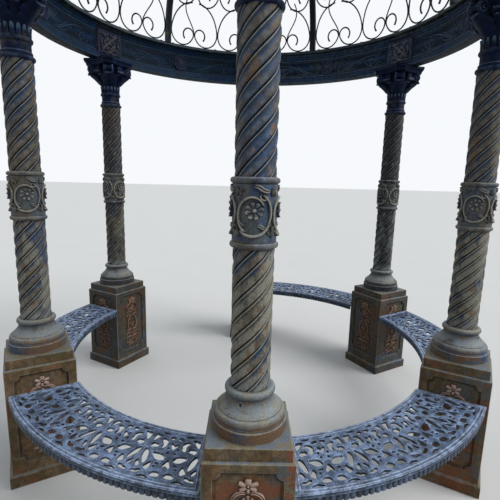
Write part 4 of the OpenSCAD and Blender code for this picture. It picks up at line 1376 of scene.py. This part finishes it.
def frieze_scrolls():
    """Leafy scrolls on both sides of the roundel, in (x, y, height) from its middle: leaves fan
    up beside it, long stems wave out to the panel's end, and one rolls up in a spiral."""
    rows = []
    for x, lean, reach in ((64, 6, 40), (74, 14, 46), (86, 24, 48), (100, 34, 44), (116, 46, 38)):
        path = [(x + 6, -34), (x - 2, -10), (x + lean * 0.5, reach * 0.5), (x + lean, reach)]
        rows.append((path, 6, 4.5, 12, 5, "leaf", (0.5, 0.3)))
    turn = np.linspace(0.4, 1.9, 16)
    a = 0.6 - TWO_PI * turn
    coil = np.column_stack([394 + (34 - 15 * turn) * np.cos(a), -20 + (34 - 15 * turn) * np.sin(a)])
    long_stem = [(104, -44), (160, -40), (205, -26), (245, -2), (290, 16), (340, 26), (392, 28), (430, 34)]
    rows += [
        ([(68, -44), (84, -34), (98, -40), (110, -46)], 6, 4.5, 10, 5, "leaf", (0.3, 0.3)),
        (long_stem, 4.2, 4.5, 32, 5, "round", (0.6, 0.4)),
        ([(120, -30), (170, -28), (212, -10), (240, 12), (262, 20)], 3.8, 4, 20, 5, "round", (0.4, 0.5)),
        ([(150, -46), (200, -42), (236, -34), (262, -22)], 3.4, 3.5, 18, 5, "round", (0.3, 0.3)),
        ([(300, 18), (330, 2), (356, 0), (384, 10), (404, 6)], 5.5, 4, 18, 5, "leaf", (0.3, 0.2)),
        ([(300, 14), (330, -16), (356, -38), *coil], 3.6, 4, 42, 5, "round", (0.4, 0.5)),
        ([(408, -44), (430, -40), (452, -30), (470, -42)], 5, 4, 12, 5, "leaf", (0.4, 0.2)),
        ([(424, 34), (446, 38), (464, 26), (480, 30)], 4.5, 4, 12, 5, "leaf", (0.6, 0.2)),
        ([(426, 30), (440, 16), (460, 12)], 4.5, 4, 10, 5, "leaf", (0.5, 0.2)),
    ]
    return strokes(rows, -1) + strokes(rows)


def strapwork():
    """Interlaced straps on the block over a column, in (x, y, height) from the block's middle:
    a diamond crossed at its four corners by bands that curl out, with arcs above and below."""
    straps = [
        ([(-86, 60), (-58, 56), (-28, 36), (6, 8), (38, -18), (60, -26), (86, -16)], 7.5, (0.7, 0.6)),
        ([(-84, -34), (-62, -42), (-38, -30), (-6, -50), (28, -62), (58, -58), (88, -70)], 7.5, (0.6, 0.6)),
        ([(0, 42), (22, 24), (46, 2), (24, -20), (0, -38)], 7, (0.9, 0.9)),
        ([(2, 62), (28, 56), (48, 60), (66, 74)], 7, (0.9, 0.5)),
        ([(62, 28), (76, 10), (72, -6), (60, 2)], 6, (0.6, 0.6)),
        ([(74, 74), (88, 60), (84, 44), (70, 46)], 5, (0.5, 0.5)),
    ]
    rows = [(path, width, 8, 18, 7, "leaf", ends) for path, width, ends in straps]
    rows.append(([(97, 76), (97, 20), (97, -76)], 1.8, 3, 10, 5, "round", (1, 1)))
    pieces = []
    for side in (-1, 1):
        pieces += strokes(rows, side) + [boss(side * 87, y, 5.2, 4.5, 12, 4) for y in (28, -4)]
    return pieces + [boss(0, 0, 9, 9, 16, 5)]


def make_frieze():
    boss_z = FRIEZE_TOP - (FRIEZE_H - 115) * MM
    block_z = FRIEZE_TOP - (FRIEZE_H - 111.5) * MM
    for k in COLUMNS:
        block, panel = frieze_faces(k)
        for sheets, relief, depth, turn, z in (
            (block, [roundel()], 0, (k - 0.5) * BAY, boss_z),
            (panel, frieze_scrolls(), -PANEL_DEEP, (k - 0.5) * BAY, boss_z),
            (block, strapwork(), BLOCK_OUT, (k - 1) * BAY, block_z),
        ):
            inner = inside_ring(FRIEZE_R - depth * MM, turn)
            outer = on_drum(FRIEZE_R + FRIEZE_T + depth * MM, turn)
            sheets.extend(sheet.placed(place).raised(z) for sheet in relief for place in (inner, outer))
        # Bays 1 to 3 take the paler copies of the frieze and block paints: painted light.
        pale = k in PAINTED_LIGHT_BAYS
        make_piece(f"cast_frieze_{k}", panel, painted_light_frieze_paint if pale else frieze_paint,
                   f"frieze_{k}")
        make_piece(f"frieze_block_{k}", block, painted_light_block_paint if pale else block_paint)


# Dome

CURB_R = FRIEZE_R / MM - 39
CURB_W, CURB_T = 44, 20
CURB_FOOT = CURB_TOP / MM - CURB_T
RIB_R = CURB_R - 7
DOME_H = 1020
RIB_T = 24
RIB_HALF = 23
SHELL_R = RIB_R + RIB_T / 2
BAR_T = 11
TIER_OVERLAP = 24

# Each tier of scrolls: its share of the dome's height, the places of its cells in half cells from
# the middle, the half cells to a panel's half width, and whether it has wavy stems
TIERS = [(0.304, (-2, 0, 2), 3, True), (0.324, (-3, -1, 1, 3), 3, True), (0.324, (-1, 1), 2, False),
         (0.510, (0,), 1.43, False)]


def shell(x, y, mid, out=0.0):
    """Point on the dome's middle surface, in millimetres: y is the way up from the curb ring as
    an angle times the dome's height, and x is the way along the ring at the dome's foot."""
    e = y / DOME_H
    r = (SHELL_R + out) * np.cos(e)
    a = mid + x / SHELL_R
    z = CURB_TOP / MM + (DOME_H + RIB_T / 2 + out) * np.sin(e)
    return np.stack([r * np.sin(a), -r * np.cos(a), z], axis=-1)


def round_bar(path, mid, radius=5.2, end=1.0):
    """Round bar along a path on the dome's surface. Its first end is thicker by a factor, as a
    hook's blunt end is."""
    p = smooth_path(path, 5 * len(path) // 2)
    place = shell(p[:, 0], p[:, 1], mid)
    up = unit(shell(p[:, 0], p[:, 1], mid, 1.0) - place)
    size = radius * (1 + (end - 1) * np.exp(-12 * np.linspace(0, 1, len(p))))
    return swept(place, np.cross(heading(place), up), up, size, 6)


def bow(x, y, rx, ry, start, end, steps):
    """Points of an elliptic arc between two angles in degrees."""
    a = np.radians(np.linspace(start, end, steps))
    return [(x + rx * c, y + ry * s) for c, s in zip(np.cos(a), np.sin(a))]


def c_scroll(w, h, y0):
    """Left scroll of a cell: a blunt hook, a round foot and a long side that leans in to the
    middle of the cell at the top."""
    foot, curl, lean = h * 0.32, w * 0.22, w * 0.11
    return (bow(-curl - BAR_T * 0.4, y0 + foot * 0.86, curl, foot * 0.46, 226, 10, 8)
            + bow(-w / 2, y0 + foot, w / 2 - BAR_T / 2, foot - BAR_T / 2, -36, -162, 7)
            + bow(-lean, y0 + foot, w - lean - BAR_T / 2, h - foot, 156, 92, 6))


def stem(w, h, y0, hand):
    """Wavy stem that rises between the two scrolls of a cell and rolls over at its top."""
    s = np.linspace(0, 1, 9)
    x = hand * w * 0.42 * np.sin(np.radians(118 * s)) ** 2
    return list(zip(x, y0 + h * (0.27 + 0.85 * s)))


def panel_half(y):
    """Half the width of a panel at the height y, clear of the ribs."""
    return SHELL_R * math.pi / 6 - RIB_HALF / math.cos(y / DOME_H) - 0.3


def scroll_panel(mid):
    """Scrolled bars between two ribs. Each cell has a left and a right scroll, which is its
    mirror image, and a cell at a rib has the one that lies inside the panel."""
    pieces, y0 = [], 0.0
    for share, places, cells, stems in TIERS:
        h = share * DOME_H
        half = panel_half(y0 + 0.32 * h)
        w = half / cells
        left = c_scroll(w, h, y0)
        for place in places:
            at_rib = abs(place) == cells
            x = math.copysign(half - BAR_T * 0.1, place) if at_rib else place * w
            if place > -cells:
                pieces.append(round_bar([(x + px, py) for px, py in left], mid, end=1.3))
            if place < cells:
                pieces.append(round_bar([(x - px, py) for px, py in left], mid, end=1.3))
            if stems and not at_rib:
                wave = stem(w, h, y0, 1 if place > 0 else -1)
                pieces.append(round_bar([(x + px, py) for px, py in wave], mid, 4.6))
        y0 += h - TIER_OVERLAP
    return pieces


def rib_bar():
    """Flat rib with rounded edges and a shallow groove along its inner face, bent on the dome's meridian in
    the plane through -Y. The section's rows are the side step, how far it stands out and the wear, whose low
    values paint shade in the groove."""
    section = np.array([
        (-RIB_HALF, -10, 0.8), (-21, -12, 0.7), (-9, -12, 0.4), (-7.5, -10.6, 0.1), (7.5, -10.6, 0.1),
        (9, -12, 0.4), (21, -12, 0.7), (RIB_HALF, -10, 0.8), (RIB_HALF, 10, 0.7), (21, 12, 0.6),
        (-21, 12, 0.6), (-RIB_HALF, 10, 0.7)])
    e = np.linspace(0, math.acos(CROWN_R / MM / RIB_R), 30)[:, None]
    x, out, wear_and_shade = section.T[:, None, :]
    out = out + RIB_T / 2
    r = (RIB_R + out) * np.cos(e)
    z = CURB_TOP / MM + (DOME_H + out) * np.sin(e)
    points = np.stack(np.broadcast_arrays(x, -r, z), axis=-1) * MM
    return grid(closed_ends(points), wear_and_shade, close_v=True)


def make_dome():
    right, top = CURB_W - 1.5, CURB_T - 1.5
    corners = np.array([(1.5, 0), (right, 0), (CURB_W, 1.5), (CURB_W, top), (right, CURB_T), (1.5, CURB_T),
                        (0, top), (0, 1.5), (1.5, 0)])
    wear_and_shade = np.array([0.3, 0.3, 0.8, 0.9, 0.8, 0.8, 0.9, 0.8, 0.3])
    curb = turned(profile(corners + [CURB_R, CURB_FOOT]), 180, wear_and_shade[None, :])
    make_piece("curb_band", [curb], dome_paint, "curb_ring")
    nut = turned(profile((0, -1), (11, -1), (11, 5), (9, 8), (0, 9)), 12).raised(CURB_TOP)
    nut.points[:, 1] -= (CURB_R + CURB_W / 2) * MM
    bolt_turns = [-BAY / 2 + 0.042, -0.17 * BAY, 0.17 * BAY, BAY / 2 - 0.042]
    rib = rib_bar()
    for k in COLUMNS:
        mid = k * BAY + DOME_TURN
        bolts = [nut.placed(carried(mid + turn, 0)) for turn in bolt_turns]
        make_piece(f"curb_bolts_{k}", bolts, dome_paint)
        make_piece(f"dome_rib_{k}", [rib.placed(carried(mid - BAY / 2, 0))], dome_paint,
                   f"rib_{k}")
        make_piece(f"dome_scrolls_{k}", scroll_panel(mid), dome_paint, f"scroll_panel_{k}", 60)
    crown = profile((0, 0), (112, 0), (116, 1), (120, 6), (120, 26), (117, 30), (108, 33), (104, 36),
                    (60, 36), (40, 37), (30, 42), (25, 50), (24, 56), arc(0, 108, 52, -58, 78, 26),
                    (8, 162), (6, 176), (5.4, 270), (3, 284), (0, 290))
    make_piece("crown_finial", [turned(crown, 48).raised(CROWN_FOOT)], dome_paint, "crown")


make_pedestals()
make_columns()
make_capitals()
make_benches()
make_frieze()
make_dome()


# Camera, light and floor

CAMERA_PLACE = (-0.0201, -2.4559, 1.4692)
CAMERA_YAW, CAMERA_PITCH, CAMERA_ROLL = 0.0069, -0.1811, 0.0246
CAMERA_LENS = 28.73
LAMP_STRENGTH = 2.6
LAMP_FROM = (0.72, -0.22, 0.66)
FLOOR_HALF = 60.0


def make_camera():
    data = bpy.data.cameras.new("camera")
    data.lens = CAMERA_LENS
    data.sensor_width = 36
    data.clip_start = 0.05
    data.clip_end = 200
    camera = bpy.data.objects.new("camera", data)
    bpy.context.scene.collection.objects.link(camera)
    yaw_c, yaw_s = math.cos(CAMERA_YAW), math.sin(CAMERA_YAW)
    pitch_c, pitch_s = math.cos(CAMERA_PITCH), math.sin(CAMERA_PITCH)
    ahead = np.array([yaw_s * pitch_c, yaw_c * pitch_c, pitch_s])
    right = np.array([yaw_c, -yaw_s, 0.0])
    up = np.cross(right, ahead)
    c, s = math.cos(CAMERA_ROLL), math.sin(CAMERA_ROLL)
    right, up = right * c + up * s, up * c - right * s
    turn = np.column_stack([right, up, -ahead])
    camera.matrix_world = Matrix.Translation(CAMERA_PLACE) @ Matrix(turn.tolist()).to_4x4()
    bpy.context.scene.camera = camera


def make_floor():
    """Pale floor. Lenses and glossy faces see it paler than the light that it throws back."""
    corners = [(-FLOOR_HALF, -FLOOR_HALF, 0), (FLOOR_HALF, -FLOOR_HALF, 0), (FLOOR_HALF, FLOOR_HALF, 0),
               (-FLOOR_HALF, FLOOR_HALF, 0)]
    mesh = bpy.data.meshes.new("floor")
    mesh.from_pydata(corners, [], [(0, 1, 2, 3)])
    f = Finish("pale floor")
    f.set(f.shader["Roughness"], 0.9)
    f.set(f.shader["Specular IOR Level"], 0.1)
    shown = f.mix(f.noise(1.5, 3.0), (0.57, 0.57, 0.56, 1), (0.61, 0.61, 0.60, 1))
    f.set(f.shader["Base Color"], f.mix(f.seen(), (0.30, 0.30, 0.29, 1), shown))
    mesh.materials.append(f.material)
    floor = bpy.data.objects.new("floor", mesh)
    bpy.context.scene.collection.objects.link(floor)


def make_light():
    """Soft light from a pale sky, brighter overhead than at its edge, and one wide lamp above
    and to the right. Lenses and glossy faces see an even pale background."""
    world = bpy.data.worlds.new("studio")
    bpy.context.scene.world = world
    world.use_nodes = True
    nodes = world.node_tree.nodes
    nodes.remove(nodes["Background"])
    w = Recipe(world.node_tree, "Generated")
    level = w.ranged(w.height(), 0, 1, 0.27, 0.85)
    sky = w.add("Background", "Background", {"Color": (0.90, 0.95, 1.0, 1), "Strength": level})
    shown = w.add("Background", "Background", {"Color": (0.93, 0.95, 0.98, 1)})
    both = w.add("MixShader", "Shader", {0: w.seen(), 1: sky, 2: shown})
    w.set(nodes["World Output"].inputs["Surface"], both)
    lamp = bpy.data.lights.new("sky lamp", "SUN")
    lamp.energy = LAMP_STRENGTH
    lamp.angle = math.radians(40)
    sun = bpy.data.objects.new("sky lamp", lamp)
    sun.rotation_euler = Vector(LAMP_FROM).to_track_quat("Z", "Y").to_euler()
    bpy.context.scene.collection.objects.link(sun)


make_camera()
make_floor()
make_light()
bpy.context.scene.view_settings.view_transform = "Standard"
